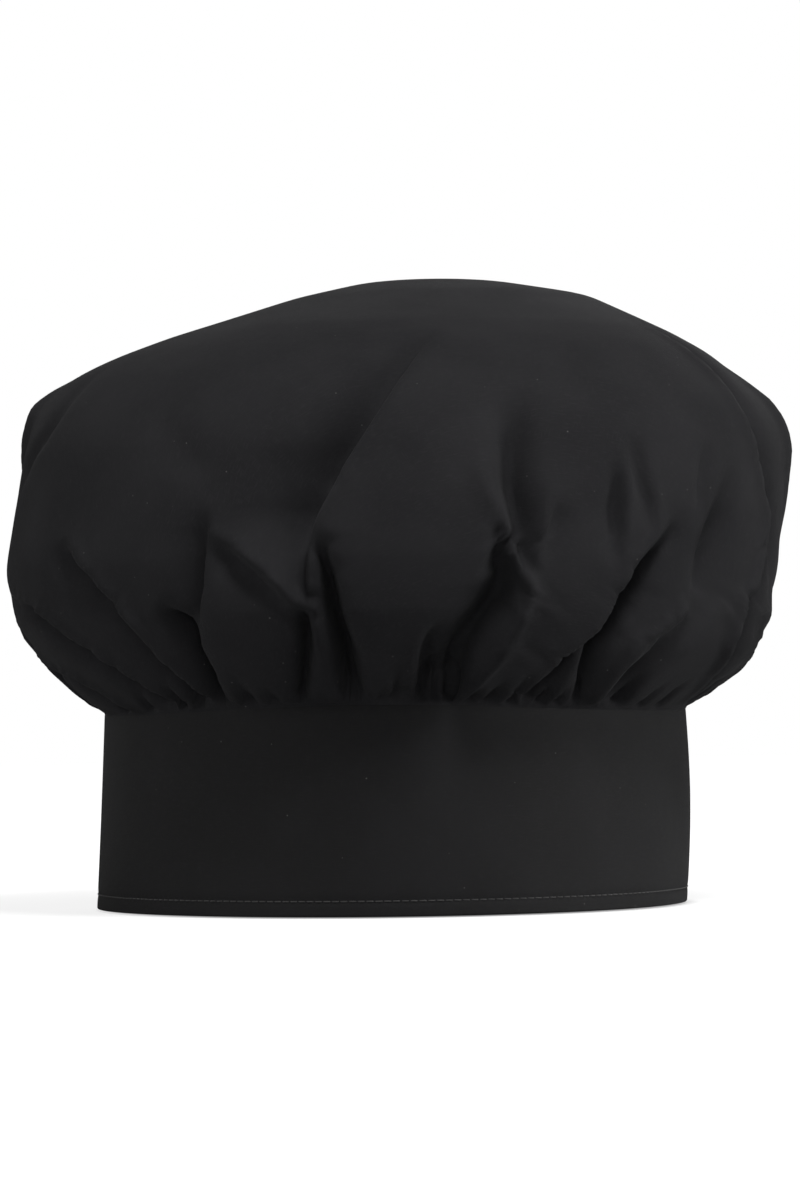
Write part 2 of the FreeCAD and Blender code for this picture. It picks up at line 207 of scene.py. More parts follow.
# %% Folds of the front
# each point: angle in degrees, height, width on the left, width on the right, depth
FRONT_FOLDS = {
    "long_hollow": ((4.0, 168, 4, 2, 0), (0.5, 157, 8, 1.8, 6), (-4.8, 143, 13, 1.8, 11.5),
        (-9.2, 128, 15, 1.8, 15), (-12.2, 114, 13, 1.8, 15.5), (-13, 106, 8, 1.8, 12.5),
        (-12.9, 98, 4, 1.8, 8), (-13, 91, 2.4, 1.8, 5), (-12.4, 87, 2, 1.6, 2), (-12, 84, 2, 1.6, 0)),
    "long_ridge": ((4.5, 166, 2, 2, 0), (2.8, 160, 2, 2, -1), (-3, 143, 2, 2, -1.8), (-7.4, 128, 2, 2, -2),
        (-10.4, 114, 1.8, 1.8, -2), (-11.7, 108, 1.8, 1.8, -2), (-10.6, 98, 1.8, 1.6, -2.2),
        (-10.2, 90, 2, 1.6, -2.5), (-10, 81, 2.4, 1.6, -3), (-9.8, 70, 2.6, 1.6, -2.5),
        (-9.6, 61, 2, 1.6, -1)),
    "middle_valley": ((-11, 109, 1.4, 1.6, 0), (-10.8, 105, 1.5, 2, 5), (-9.8, 98, 1.8, 2.8, 12),
        (-9.4, 89, 2, 3.2, 16), (-9.4, 78, 2, 3.4, 17), (-9, 68, 2, 3.2, 15), (-7.6, 61, 1.8, 2.6, 10)),
    "left_wedge": ((-13.2, 87, 1.4, 1.6, 0), (-13.5, 84, 1.8, 2, 7), (-13.8, 79, 1.7, 2, 10),
        (-15.2, 71, 1.6, 1.8, 9), (-17.6, 61, 1.5, 1.6, 6)),
    "slant_ridge": ((-26, 109, 2, 2, 0), (-24.3, 107, 2, 2.6, -2), (-20.5, 103, 2, 2.8, -3),
        (-16, 95, 2, 2.6, -3), (-13.8, 89, 2, 2, -2.2), (-12.5, 86, 2, 2, 0)),
    "slant_hollow": ((-26, 108, 4, 2, 0), (-24.2, 104, 6, 2, 3.5), (-21.5, 99, 8, 2, 4.5),
        (-17.5, 92, 6, 2, 3.5), (-15.5, 87, 4, 1.8, 2), (-14.8, 83, 3, 1.6, 0)),
    "thin_crease": ((-27.3, 115, 3, 1.4, 0), (-27.9, 109, 4.5, 1.4, 5), (-28.6, 94, 5.5, 1.5, 7.5),
        (-30.6, 83, 5, 1.5, 6), (-32, 76, 3, 1.4, 0)),
    "black_wedge": ((-35, 89, 2, 2, 0), (-34.4, 86, 2.4, 2.2, 6), (-33.8, 82, 2.6, 2.2, 12),
        (-33.3, 76, 2.6, 2, 14), (-33, 69, 2.4, 1.8, 12), (-34, 61, 1.8, 1.6, 8)),
    "left_long_hollow": ((-55, 108, 5, 1.8, 0), (-53.8, 103, 7, 1.8, 6), (-47.5, 93, 9, 1.8, 8.5),
        (-43.2, 84, 8, 1.8, 8), (-41.4, 74, 6, 1.7, 7), (-38.4, 65, 4, 1.6, 6), (-36, 60, 3, 1.5, 5)),
    "left_long_ridge": ((-54, 111, 2, 2, 0), (-51.6, 106, 2, 2, -1), (-44.6, 93, 2, 2.2, -2),
        (-40.4, 84, 2, 2.4, -2.4), (-38.6, 74, 2, 2.4, -2.2), (-36, 65, 1.8, 2, -1.5),
        (-35, 61, 1.6, 1.6, 0)),
    "left_low_hollow": ((-84, 95, 5, 2, 0), (-72, 90, 7, 2, 6), (-63, 85, 8, 2, 9.5),
        (-57, 77, 8, 1.9, 10.5), (-51, 69, 6, 1.8, 8.5), (-45.5, 62, 4, 1.6, 6)),
    "left_low_ridge": ((-84, 99, 2.4, 2.4, 0), (-70, 92, 2.4, 2.4, -1.8), (-60, 86, 2.2, 2.4, -2.2),
        (-53.5, 77, 2, 2.2, -2.2), (-48, 68, 2, 2, -1.8), (-43.8, 61, 1.6, 1.6, -0.5)),
    "left_edge_hollow": ((-92, 79, 4, 2, 0), (-82, 71, 5, 2, 5), (-70, 66, 5, 1.9, 8),
        (-60, 61, 4, 1.7, 6)),
    "left_edge_ridge": ((-94, 84, 2.4, 2.4, 0), (-78, 74, 2.4, 2.4, -2.4), (-66, 69, 2, 2.2, -2),
        (-56.5, 61, 1.6, 1.8, -0.8)),
    "right_hollow": ((14.6, 113, 1.8, 1.3, 0), (14.9, 108, 2.2, 1.4, 5), (15.9, 101, 3.4, 1.6, 9),
        (17.2, 94, 6, 1.9, 12), (16.2, 84, 10, 2, 15), (13.6, 77, 11, 2, 15), (10.8, 68, 9, 1.8, 12),
        (9.4, 61, 7, 1.6, 8)),
    "hollow_left_wall": ((6, 83, 1.4, 3, 0), (4.8, 78, 1.4, 3.5, 4), (3.9, 72, 1.3, 3.5, 6),
        (4.2, 61, 1.2, 3, 5)),
    "hollow_left_edge": ((7, 85, 2, 2, 0), (4, 80, 2, 1.6, -1.2), (2.6, 74, 2, 1.5, -1.8),
        (2.8, 66, 1.8, 1.4, -1.5), (3, 61, 1.5, 1.3, 0)),
    "fork_ridge": ((10.2, 131, 2.4, 2.4, 0), (11.2, 125, 2, 2, -1), (12.2, 119, 2, 2, -1.8),
        (15.2, 111, 1.8, 1.6, -2.2), (17, 102, 1.8, 1.6, -2.4), (19.4, 94, 2, 2, -2.8),
        (18.6, 84, 2, 2.6, -3.2), (16.4, 77, 2, 2.6, -3), (13, 66, 1.8, 2, -2.2), (11.4, 61, 1.6, 1.6, 0)),
    "fork_arm": ((22, 124, 1.8, 2, 0), (21.6, 116, 1.6, 1.6, -1.6), (20.8, 107, 1.6, 1.6, -2),
        (20.2, 99, 1.6, 1.6, -1.6), (19.8, 93, 1.6, 1.6, 0)),
    "fork_hollow": ((15.4, 150, 5, 5, 0), (15.4, 143, 6, 5, 4), (15.8, 133, 5.5, 4.5, 7),
        (16.4, 121, 4, 3.6, 9), (17.9, 111, 3, 2.8, 8), (18.7, 102, 2, 1.9, 6), (19.3, 95, 1.6, 1.6, 0)),
    "arm_hollow": ((22.6, 118, 1.4, 3, 0), (22.6, 112, 1.4, 3.5, 2.5), (22, 105, 1.4, 3, 1.5),
        (21.6, 100, 1.4, 3, 0)),
    "right_valley": ((43, 112, 2, 2.4, 0), (42.4, 107, 2.2, 3.5, 3.5), (39.4, 101, 2.4, 4.2, 7),
        (37.2, 93, 2.4, 4.2, 10), (34.8, 84, 2.4, 4, 12), (32.4, 77, 2.2, 3.4, 12), (31.4, 71, 2, 3, 10),
        (33.4, 64, 1.7, 2.4, 7), (35.2, 60, 1.6, 2, 5)),
    "right_valley_edge": ((42, 113, 2, 2, 0), (40.4, 107, 2.4, 1.5, -1.2), (37.2, 101, 2.6, 1.5, -1.8),
        (35.2, 93, 3, 1.5, -2), (33, 84, 3, 1.5, -2), (30.8, 77, 2.6, 1.5, -1.8), (29.6, 72, 2, 1.4, -1),
        (30, 67, 2, 1.4, 0)),
    "right_short_ridge": ((51, 89, 3, 3, 0), (47, 85, 2.6, 2.8, -2), (39.8, 78, 2.4, 2.6, -3),
        (37.4, 69, 2, 2.4, -2.8), (38.4, 62, 1.6, 2, -1.5), (38.6, 60, 1.4, 1.6, 0)),
    "right_short_hollow": ((50, 84, 2.4, 5, 0), (45.5, 77, 2.4, 6.5, 4.5), (42.2, 69, 2, 5.5, 6),
        (42, 61, 1.8, 4, 6)),
    "slant_groove": ((32.4, 80, 2, 2, 0), (31, 77, 2.2, 2.2, 3.5), (28, 72, 2.2, 2.2, 5.5),
        (25.6, 67, 2, 2, 6), (24.2, 62, 1.8, 1.8, 5)),
    "groove_lip": ((31, 81, 1.8, 1.8, 0), (28.6, 76, 2, 1.4, -1.5), (26, 71, 2, 1.4, -2),
        (23.6, 66, 1.8, 1.3, -1.5), (22.6, 61, 1.5, 1.2, 0)),
    "right_soft_hollow": ((55.5, 127, 5, 5, 0), (55, 118, 6, 5.5, 4), (54.6, 111, 7, 6, 7),
        (53.4, 102, 8, 7, 7.5), (52.5, 92, 7, 7, 5.5), (51, 84, 5, 6, 3), (49, 77, 4, 5, 0)),
    "right_long_ridge": ((69, 121, 2.4, 2.4, 0), (68.4, 112, 2.4, 2.4, -2), (66.4, 97, 2.4, 2.2, -3.2),
        (63.4, 87, 2.4, 2, -3.6), (62.4, 77, 2.4, 2, -3.6), (65, 68, 2, 1.8, -2.4), (69, 61, 1.6, 1.6, 0)),
    "right_long_hollow": ((70, 106, 2, 5, 0), (69, 96, 2, 7, 6), (66, 87, 2, 7.5, 10), (65, 77, 2, 7.5, 11),
        (68, 68, 1.9, 6, 10), (73, 61, 1.8, 4.5, 7)),
    "small_hollow_a": ((32.4, 130, 3, 1.3, 0), (32.5, 124, 4, 1.4, 3.5), (32.6, 114, 5, 1.4, 4.5),
        (33, 105, 4, 1.4, 2.5), (33.4, 98, 3, 1.4, 0)),
    "small_ridge_a": ((33.2, 129, 1.6, 1.6, 0), (33.8, 122, 1.6, 1.6, -1.6), (34, 112, 1.6, 1.6, -1.6),
        (34.4, 104, 1.6, 1.6, -1), (34.6, 98, 1.6, 1.6, 0)),
    "small_hollow_b": ((34.4, 138, 2, 2, 0), (35, 131, 2.6, 2, 2.5), (36.6, 122, 3.2, 2, 3),
        (38, 114, 3, 1.6, 2), (39, 107, 2, 1.6, 0)),
    "small_ridge_b": ((36.6, 131, 1.6, 1.6, 0), (38.2, 122, 1.6, 1.6, -1.3), (39.8, 112, 1.6, 1.6, -1.2),
        (40.2, 106, 1.6, 1.6, 0)),
    "small_hollow_c": ((49.2, 135, 2, 2, 0), (49, 129, 2.4, 2, 2.5), (48.8, 121, 2.6, 2.2, 3),
        (48.4, 112, 2.2, 2, 0)),
    "right_shoulder_hollow": ((66, 180, 3, 4, 0), (64, 170, 2, 4, 2.5), (64.5, 157, 1.8, 5, 4.5),
        (62.5, 147, 1.8, 5, 5), (65, 136, 1.8, 5, 5), (69.5, 121, 1.8, 5, 4.5), (74.5, 104, 1.8, 5, 3),
        (77, 95, 2, 4, 0)),
    "right_shoulder_ridge": ((64, 182, 2.5, 2.5, 0), (61.4, 170, 2.2, 2.2, -1), (62, 157, 2.2, 2, -1.6),
        (60, 147, 2.2, 2, -1.8), (62.4, 136, 2.2, 2, -1.8), (67, 121, 2.2, 2, -1.6), (72, 104, 2.2, 2, -1),
        (74, 96, 2, 2, 0)),
    "right_corner": ((85, 162, 6, 6, 0), (84, 150, 7, 7, -2.5), (86, 138, 7, 7, -3), (88, 122, 6, 6, -1.5),
        (90, 107, 5, 5, 0)),
    "left_shoulder_hollow": ((-62, 161, 4, 4, 0), (-64, 150, 4, 4, 2), (-68, 141, 4, 3, 3.5),
        (-75, 133, 4, 3, 3), (-82, 123, 4, 4, 0)),
    "left_corner": ((-86, 160, 7, 7, 0), (-84, 150, 8, 8, -3), (-88, 140, 7, 7, -2), (-92, 127, 6, 6, 0)),
    "left_brow": ((-42, 154, 8, 8, 0), (-37, 142, 10, 8, 1.3), (-31, 130, 10, 8, 1.6), (-26, 117, 8, 6, 0)),
}
# short gathers that only show close to the seam: angle, height of their tips, width, depth
FRONT_GATHERS = (
    (-64.0, 66, 1.8, 3), (-52.5, 64, 1.4, 2.5), (-43.4, 65.5, 1.3, 4), (-38.8, 63.5, 1.2, 2),
    (-27.5, 66, 1.9, 3.5), (-22.5, 63.5, 1.4, 2), (-2.4, 64, 1.2, 2.5), (0.0, 69, 1.4, 4.5),
    (1.9, 66, 1.2, 2.5), (5.0, 75, 1.3, 4.5), (7.4, 74, 1.3, 4.5), (9.9, 77, 1.4, 4.5),
    (13.8, 64, 1.2, 2), (17.4, 65, 1.7, 3.5), (21.6, 66, 1.3, 3.5), (27.4, 66, 1.6, 4),
    (31.0, 64, 1.3, 2.5), (45.6, 65.5, 1.9, 4), (52.5, 63.5, 1.5, 2.5), (59.0, 64, 1.7, 3.5),
    (78.0, 66, 1.9, 4),
)

# %% [markdown]
# ## Folds of the sides and back
# These aren't listed: each gets a place, a height, a lean and a depth from a seeded generator. Long ones
# come first and short gathers fill the seam between them.

# %% Folds of the sides and back
SLIT_ANGLE = -158.5  # the crown's slit, over the closure
BACK_FROM, BACK_TO = 88.0, 274.0


def back_folds():
    draw = np.random.default_rng(7)
    folds = []
    angle = BACK_FROM + 4
    while angle < BACK_TO - 4:
        tip = draw.uniform(88, 122)
        lean = draw.uniform(-7, 7)
        depth = draw.uniform(7, 12)
        width = draw.uniform(3.2, 5.0)
        crisp = draw.choice((-1, 1))
        left, right = (0.45, 1.5) if crisp < 0 else (1.5, 0.45)
        folds.append(((angle, 61, width * 0.7 * left, width * 0.7 * right, depth * 0.7),
                      (angle + lean * 0.2, 71, width * left, width * right, depth),
                      (angle + lean * 0.6, 84, width * 1.1 * left, width * 1.1 * right, depth * 0.7),
                      (angle + lean, tip, width, width, 0)))
        side = crisp * draw.uniform(1.5, 2.1)
        folds.append(((angle + side, 62, 2.0, 2.0, -1), (angle + side + lean * 0.3, 76, 2.2, 2.2, -2.2),
                      (angle + side + lean, tip + 8, 2.4, 2.4, 0)))
        angle += draw.uniform(9.5, 15.5)
    for _ in range(9):
        middle = draw.uniform(BACK_FROM, BACK_TO)
        low = draw.uniform(98, 125)
        lean = draw.uniform(-14, 14)
        narrow, broad = sorted(draw.uniform(2.5, 8.0, 2))
        folds.append(((middle, low, broad, narrow, 0),
                      (middle + lean * 0.4, low + 14, broad * 1.2, narrow, draw.uniform(3, 6)),
                      (middle + lean, low + 38, broad, narrow, 0)))
    return folds


def back_gathers():
    draw = np.random.default_rng(11)
    gathers = []
    angle = BACK_FROM - 8
    while angle < BACK_TO + 8:
        gathers.append((angle, draw.uniform(65, 74), draw.uniform(1.3, 1.7), draw.uniform(2.5, 4.5)))
        angle += draw.uniform(2.8, 5.2)
    return gathers


ALL_FOLDS = list(FRONT_FOLDS.values()) + back_folds()
ALL_GATHERS = list(FRONT_GATHERS) + back_gathers()
print(f"folds: {len(ALL_FOLDS)}, gathers: {len(ALL_GATHERS)}")

# %% [markdown]
# ## From folds to a shape
# At each level the folded cloth is a closed wavy line. The cloth's threads are spread evenly along that
# line, because cloth folds but hardly stretches, and that is what draws the threads of a valley together.

# %% Fold depth
SECTION_STEPS = 2880
SECTION_ANGLES = SLIT_ANGLE + np.linspace(0.0, 360.0, SECTION_STEPS + 1)


def fold_depth(fold, reach):
    """How far one fold pushes the cloth in, along the whole section at one reach."""
    points = np.array(sorted(fold, key=lambda point: point[1]), float)
    knots = reach_at(points[:, 1])
    if reach > knots[-1] + 4:
        return np.zeros(len(SECTION_ANGLES))
    angle, left, right, depth = (soft_interp(reach, knots, points[:, i], 2.5) for i in (0, 2, 3, 4))
    size = np.linalg.norm(crown_base(angle + 0.5, reach) - crown_base(angle - 0.5, reach))
    away = (SECTION_ANGLES - angle + 180.0) % 360.0 - 180.0
    x = np.abs(away * size / np.where(away < 0, left, right))
    sharp = 1.6 if depth > 0 else 2.0
    return depth * np.exp(-x ** sharp)


SEAM_RISE = 6.0  # millimetres over which a fold opens out from the seam


def crown_section(reach):
    """The folded line at one reach, how far along it each point is, and how deep it lies."""
    base = crown_base(SECTION_ANGLES, reach)
    normal = crown_normal(SECTION_ANGLES, max(reach, 0.5))
    deep = sum(fold_depth(fold, max(reach, 2.5)) for fold in ALL_FOLDS)
    depth = deep * ease(reach / SEAM_RISE)
    spread = crown_base(SECTION_ANGLES, max(reach, 2.5)) - normal * deep[:, None]
    run = np.concatenate(([0.0], np.cumsum(np.linalg.norm(np.diff(spread, axis=0), axis=1))))
    return base - normal * depth[:, None], run, depth


# %% [markdown]
# ## Cutting the circle
# A fan of six triangles, each cut into small even ones, is a flat disc with the same triangles
# everywhere, so it bends the same way in every direction, as cloth should. Its six-sided rings stand for
# the rings of the cut circle, and each point keeps its ring and its share of the way round. There are two
# discs: a fine one for the cloth that shows, and a coarse one that settles for it. One subdivision makes
# 100 cuts at most, which leaves the fine disc 101 rings of points. Each takes the nearest of 126 ring
# numbers, so they aren't quite evenly spaced.

# %% The cut circle
RINGS = 63
CROWN_CUT_RADIUS = 242.0
SEAM_ALLOWANCE = 9.0
SLIT_RINGS = 18
SLIT_HALF_WIDTH = 3.6
MOST_CUTS = 100  # Blender makes no more in one subdivision


def cut_circle(name, rings):
    deselect_all()
    bpy.ops.mesh.primitive_circle_add(vertices=6, radius=1.0, fill_type="TRIFAN")
    disc = bpy.context.object
    disc.name = name
    bpy.ops.object.mode_set(mode="EDIT")
    bpy.ops.mesh.select_all(action="SELECT")
    bpy.ops.mesh.subdivide(number_cuts=min(rings - 1, MOST_CUTS))
    bpy.ops.object.mode_set(mode="OBJECT")
    return disc


def ring_and_share(points, rings):
    """For each vertex of the six-sided disc: its ring, and its share of the way round from the back."""
    turn = np.arctan2(points[:, 1], points[:, 0])
    start = math.pi / 2
    sixth = math.pi / 3
    steps = ((turn - start) / sixth) % 6.0
    steps = np.where(np.abs(steps - np.round(steps)) < 1e-5, np.round(steps), steps) % 6.0
    sector = np.floor(steps)
    within = (steps - sector) * sixth
    along = np.sin(within) / (np.sin(within) + np.sin(sixth - within))
    radius = np.hypot(points[:, 0], points[:, 1])
    apothem = radius * np.cos(within - sixth / 2) / math.cos(sixth / 2)
    ring = np.round(apothem * rings).astype(int)
    return ring, (sector + along) / 6.0


def open_slit(disc, rings):
    """Parts the cloth along the back, from its edge inwards."""
    make_active(disc)
    points = places(disc)
    ring, share = ring_and_share(points, rings)
    on_line = (share < 1e-6) & (ring >= rings - SLIT_RINGS * rings // RINGS)
    bpy.ops.object.mode_set(mode="EDIT")
    bpy.ops.mesh.select_mode(type="EDGE")
    bpy.ops.mesh.select_all(action="DESELECT")
    bpy.ops.object.mode_set(mode="OBJECT")
    for edge in disc.data.edges:
        a, b = edge.vertices
        edge.select = bool(on_line[a] and on_line[b])
    bpy.ops.object.mode_set(mode="EDIT")
    bpy.ops.mesh.edge_split(type="EDGE")
    bpy.ops.object.mode_set(mode="OBJECT")


def new_disc(name, rings):
    """A disc with its slit, and each vertex's place in the cut: its ring, in coarse rings, and its share."""
    disc = cut_circle(name, rings)
    open_slit(disc, rings)
    points = places(disc)
    ring, share = ring_and_share(points, rings)
    # the two edges of the slit share their places in the flat cut, so each is told apart by its neighbours
    side = np.zeros(len(points))
    for face in disc.data.polygons:
        for index in face.vertices:
            side[index] += face.center.x
    on_right = (share < 1e-6) & (side > 0) & (ring >= rings - SLIT_RINGS * rings // RINGS)
    share = np.where(on_right, 1.0, share)
    print(f"{name}: {len(points)} points, {len(disc.data.polygons)} triangles")
    return disc, ring * RINGS / rings, share


crown, FINE_RING, FINE_SHARE = new_disc("crown_cloth", 2 * RINGS)
settling, RING, SHARE = new_disc("settling_cloth", RINGS)
RING = RING.astype(int)

# %% Laying the folds
NEAR_SEAM, NEAR_TOP = 0.62, 0.38  # rings lie closer together near the seam, where the folds are sharpest


def ring_reach(ring):
    share = 1 - np.asarray(ring) / RINGS
    return CROWN_REACH * (NEAR_SEAM * share + NEAR_TOP * share ** 2)


def lay_crown(rings, shares):
    """Places in the folded crown for points of the cut, their angles and depths, and the rings' lengths."""
    count = len(rings)
    laid, angles, depths = np.zeros((count, 3)), np.zeros(count), np.zeros(count)
    lengths = [0.0]
    laid[rings == 0] = crown_base(np.zeros(1), CROWN_REACH)[0]
    for ring in np.unique(rings)[1:]:
        mine = np.nonzero(rings == ring)[0]
        folded, run, depth = crown_section(float(ring_reach(ring)))
        lengths.append(run[-1])
        gap = SLIT_HALF_WIDTH * max(0.0, 1 - (RINGS - ring) / SLIT_RINGS)
        spots = gap + shares[mine] * (run[-1] - 2 * gap)
        angles[mine] = np.interp(spots, run, SECTION_ANGLES)
        depths[mine] = np.interp(spots, run, depth)
        for axis in range(3):
            laid[mine, axis] = np.interp(spots, run, folded[:, axis])
    return laid, angles, depths, np.array(lengths)


fine_laid, fine_angles, _, _ = lay_crown(FINE_RING, FINE_SHARE)
laid_points, _, laid_depths, ring_lengths = lay_crown(RING, SHARE)
for ring in (16, 32, 48, RINGS):
    print(f"ring {ring}: folded line {ring_lengths[ring]:.0f} mm")

# %% [markdown]
# ## Letting the cloth settle
# The folds so far are drawn, not grown. A cloth simulation eases them a little: the seam is pinned, every
# other point is held to its place by a spring, and the cloth evens out its own bends and lengths. Its
# rest shape is a smooth bell with the same length of cloth at every level as the folded line has, so that
# the cloth neither stretches nor crumples. It runs on the coarse disc, at ten times life size, where the
# solver's settings behave. The moves that it makes are small, and they are carried over to the fine disc.

# %% Settling the crown
SIM_SCALE = 10.0
SIM_FRAMES = 20
HOLD = 0.30  # how firmly a free point is held to where it was laid
HOLD_IN_VALLEYS = 0.45  # and how much more firmly at the foot of a deep valley
DEEP = 10.0
FIRM_REACH = 10.0  # the cloth this close to the seam is held more firmly


def neighbour_average(piece, points, rounds, still):
    """Moves every point halfway to the middle of its neighbours, a few times."""
    pairs = np.empty(len(piece.data.edges) * 2, dtype=np.int32)
    piece.data.edges.foreach_get("vertices", pairs)
    pairs = pairs.reshape(-1, 2)
    count = np.bincount(pairs.ravel(), minlength=len(points))[:, None]
    for _ in range(rounds):
        total = np.zeros_like(points)
        np.add.at(total, pairs[:, 0], points[pairs[:, 1]])
        np.add.at(total, pairs[:, 1], points[pairs[:, 0]])
        points = np.where(still[:, None], points, (points + total / count) / 2)
    return points


def smooth_bell():
    """The cloth's rest shape: rings as long as the folded lines, and as far apart as along the cloth."""
    lengths = ring_lengths.copy()
    for _ in range(3):
        lengths[1:-1] = (lengths[:-2] + 2 * lengths[1:-1] + lengths[2:]) / 4
    radius = lengths / (2 * math.pi)
    step = -np.diff(ring_reach(np.arange(RINGS + 1)))
    drop = np.sqrt(np.maximum(step ** 2 - np.diff(radius) ** 2, (0.05 * step) ** 2))
    height = -np.concatenate(([0.0], np.cumsum(drop)))
    turn = 2 * math.pi * SHARE
    return np.stack([radius[RING] * np.cos(turn), radius[RING] * np.sin(turn), height[RING]], axis=-1)


def settle(piece, laid, rest, weights):
    """Runs the cloth from where it was laid, and gives back where it ends up, in millimetres."""
    scale = MM * SIM_SCALE
    put(piece, laid * scale)
    piece.shape_key_add(name="Basis")
    rest_key = piece.shape_key_add(name="rest")
    rest_key.data.foreach_set("co", (rest * scale).astype(np.float32).ravel())
    rest_key.value = 0.0
    held = piece.vertex_groups.new(name="held")
    for weight in np.unique(weights):
        held.add([int(i) for i in np.nonzero(weights == weight)[0]], float(weight), "REPLACE")
    cloth = piece.modifiers.new("settle", "CLOTH")
    cloth.settings.quality = 6
    cloth.settings.mass = 0.15
    cloth.settings.air_damping = 2.0
    cloth.settings.tension_stiffness = 20
    cloth.settings.compression_stiffness = 10
    cloth.settings.shear_stiffness = 4
    cloth.settings.bending_stiffness = 1.0
    cloth.settings.vertex_group_mass = "held"
    cloth.settings.rest_shape_key = rest_key
    cloth.settings.effector_weights.gravity = 0.3
    cloth.collision_settings.use_collision = False
    cloth.collision_settings.use_self_collision = True
    cloth.collision_settings.self_distance_min = 0.008
    cloth.point_cache.frame_start = 1
    cloth.point_cache.frame_end = SIM_FRAMES
    for step in range(1, SIM_FRAMES + 1):
        bpy.context.scene.frame_set(step)
    settled = piece.evaluated_get(bpy.context.evaluated_depsgraph_get())
    flat = np.empty(len(piece.data.vertices) * 3)
    settled.data.vertices.foreach_get("co", flat)
    piece.modifiers.remove(cloth)
    piece.shape_key_clear()
    piece.vertex_groups.clear()
    bpy.context.scene.frame_set(1)
    return flat.reshape(-1, 3) / scale


reach_of = ring_reach(RING)
laid_points = neighbour_average(settling, laid_points, 1, RING == RINGS)
firm = 1 - (1 - HOLD) * reach_of / FIRM_REACH
in_valleys = HOLD + HOLD_IN_VALLEYS * ease(laid_depths / DEEP)
hold = np.round(np.clip(np.maximum(firm, in_valleys), HOLD, 1.0), 2)
settled_points = settle(settling, laid_points, smooth_bell(), hold)
moves = settled_points - laid_points
moved = np.linalg.norm(moves, axis=1)
print(f"settling moved the cloth {moved.mean():.2f} mm on average, {moved.max():.1f} mm at most")


def moves_between(rings, shares):
    """The settled cloth's moves, read off at places between its rings."""
    total = np.zeros((len(rings), 3))
    for ring in np.unique(rings):
        mine = np.nonzero(rings == ring)[0]
        for coarse, part in ((math.floor(ring), 1 - ring % 1), (math.ceil(ring), ring % 1)):
            line = np.nonzero(RING == coarse)[0]
            line = line[np.argsort(SHARE[line])]
            spots, values = SHARE[line], moves[line]
            if coarse < RINGS - SLIT_RINGS:
                spots, values = np.append(spots, 1.0), np.concatenate([values, values[:1]])
            for axis in range(3):
                total[mine, axis] += part * np.interp(shares[mine], spots, values[:, axis])
    return total


fine_points = fine_laid + moves_between(FINE_RING, FINE_SHARE)
fine_points = neighbour_average(crown, fine_points, 1, FINE_RING == RINGS)
put(crown, fine_points * MM)
deselect_all()
settling.select_set(True)
bpy.ops.object.delete()

# %% [markdown]
# ## Finishing the crown's cloth
# The cut circle becomes the cloth's own pattern map, so that the weave runs straight across the cloth and
# bends with every fold. The short gathers, finer than the simulation can carry, are pressed in beside the
# seam. Later cells draw the edge down between the band's plies and give the cloth its thickness.

# %% Crown cloth finish
CLOTH_THICKNESS = 0.30
TUCKED_LEVEL = 0.75  # between the band's plies
CUT_SPAN = 500.0  # millimetres of cloth that one unit of the pattern map stands for


def map_from_cut(piece, cut):
    """A UV map in which the cloth lies flat, as it was cut."""
    layer = piece.data.uv_layers.new(name="cut")
    loops = np.empty(len(piece.data.loops), dtype=np.int32)
    piece.data.loops.foreach_get("vertex_index", loops)
    layer.data.foreach_set("uv", (0.5 + cut[loops] / CUT_SPAN).astype(np.float32).ravel())


def note(piece, name, values):
    layer = piece.data.attributes.new(name, "FLOAT", "POINT")
    layer.data.foreach_set("value", values.astype(np.float32))


def noted(piece, name):
    values = np.empty(len(piece.data.vertices), dtype=np.float32)
    piece.data.attributes[name].data.foreach_get("value", values)
    return values.astype(float)


def normals_of(piece):
    flat = np.empty(len(piece.data.vertices) * 3, dtype=np.float32)
    piece.data.vertex_normals.foreach_get("vector", flat)
    return flat.reshape(-1, 3).astype(float)


def thicken(piece, thickness):
    """Gives a sheet its thickness, inwards from the face that shows, and smooth shading."""
    make_active(piece)
    solid = piece.modifiers.new("thickness", "SOLIDIFY")
    solid.thickness = thickness * MM
    solid.offset = -1.0
    solid.use_even_offset = False
    bpy.ops.object.modifier_apply(modifier=solid.name)
    bpy.ops.object.shade_smooth()


fine_reach = ring_reach(FINE_RING)
cut_radius = (CROWN_REACH - fine_reach) / CROWN_REACH * (CROWN_CUT_RADIUS - SEAM_ALLOWANCE)
cut_turn = math.pi / 2 + 2 * math.pi * FINE_SHARE
map_from_cut(crown, np.stack([np.cos(cut_turn), np.sin(cut_turn)], axis=-1) * cut_radius[:, None])
note(crown, "angle", fine_angles)
note(crown, "reach", fine_reach)


def gather_depth(angle, reach):
    """How far the short gathers beside the seam push the cloth in."""
    total = np.zeros(len(angle))
    per_degree = math.radians(1.0) * (SEAM_HALF_WIDTH + SEAM_HALF_DEPTH) / 2
    for middle, tip, width, depth in ALL_GATHERS:
        away = (angle - middle + 180.0) % 360.0 - 180.0
        fade = ease(1 - reach / reach_at(tip + 4))
        total += depth * fade * np.exp(-np.abs(away * per_degree / width) ** 1.8)
    return total * ease(reach / 2.0)


fine_depth = gather_depth(fine_angles, fine_reach)
put(crown, (fine_points - normals_of(crown) * fine_depth[:, None]) * MM)
print(f"crown: {len(crown.data.polygons)} triangles, gathers up to {fine_depth.max():.1f} mm deep")

# %% [markdown]
# ## The band's shape
# Every ply, tape and stitch of the band lies on the same oval, at its own level through the thickness.
# One function gives that oval, with the small bulges and slack that a soft band takes on, so that all the
# layers follow each other exactly. Levels count outwards from the lining's inner face.

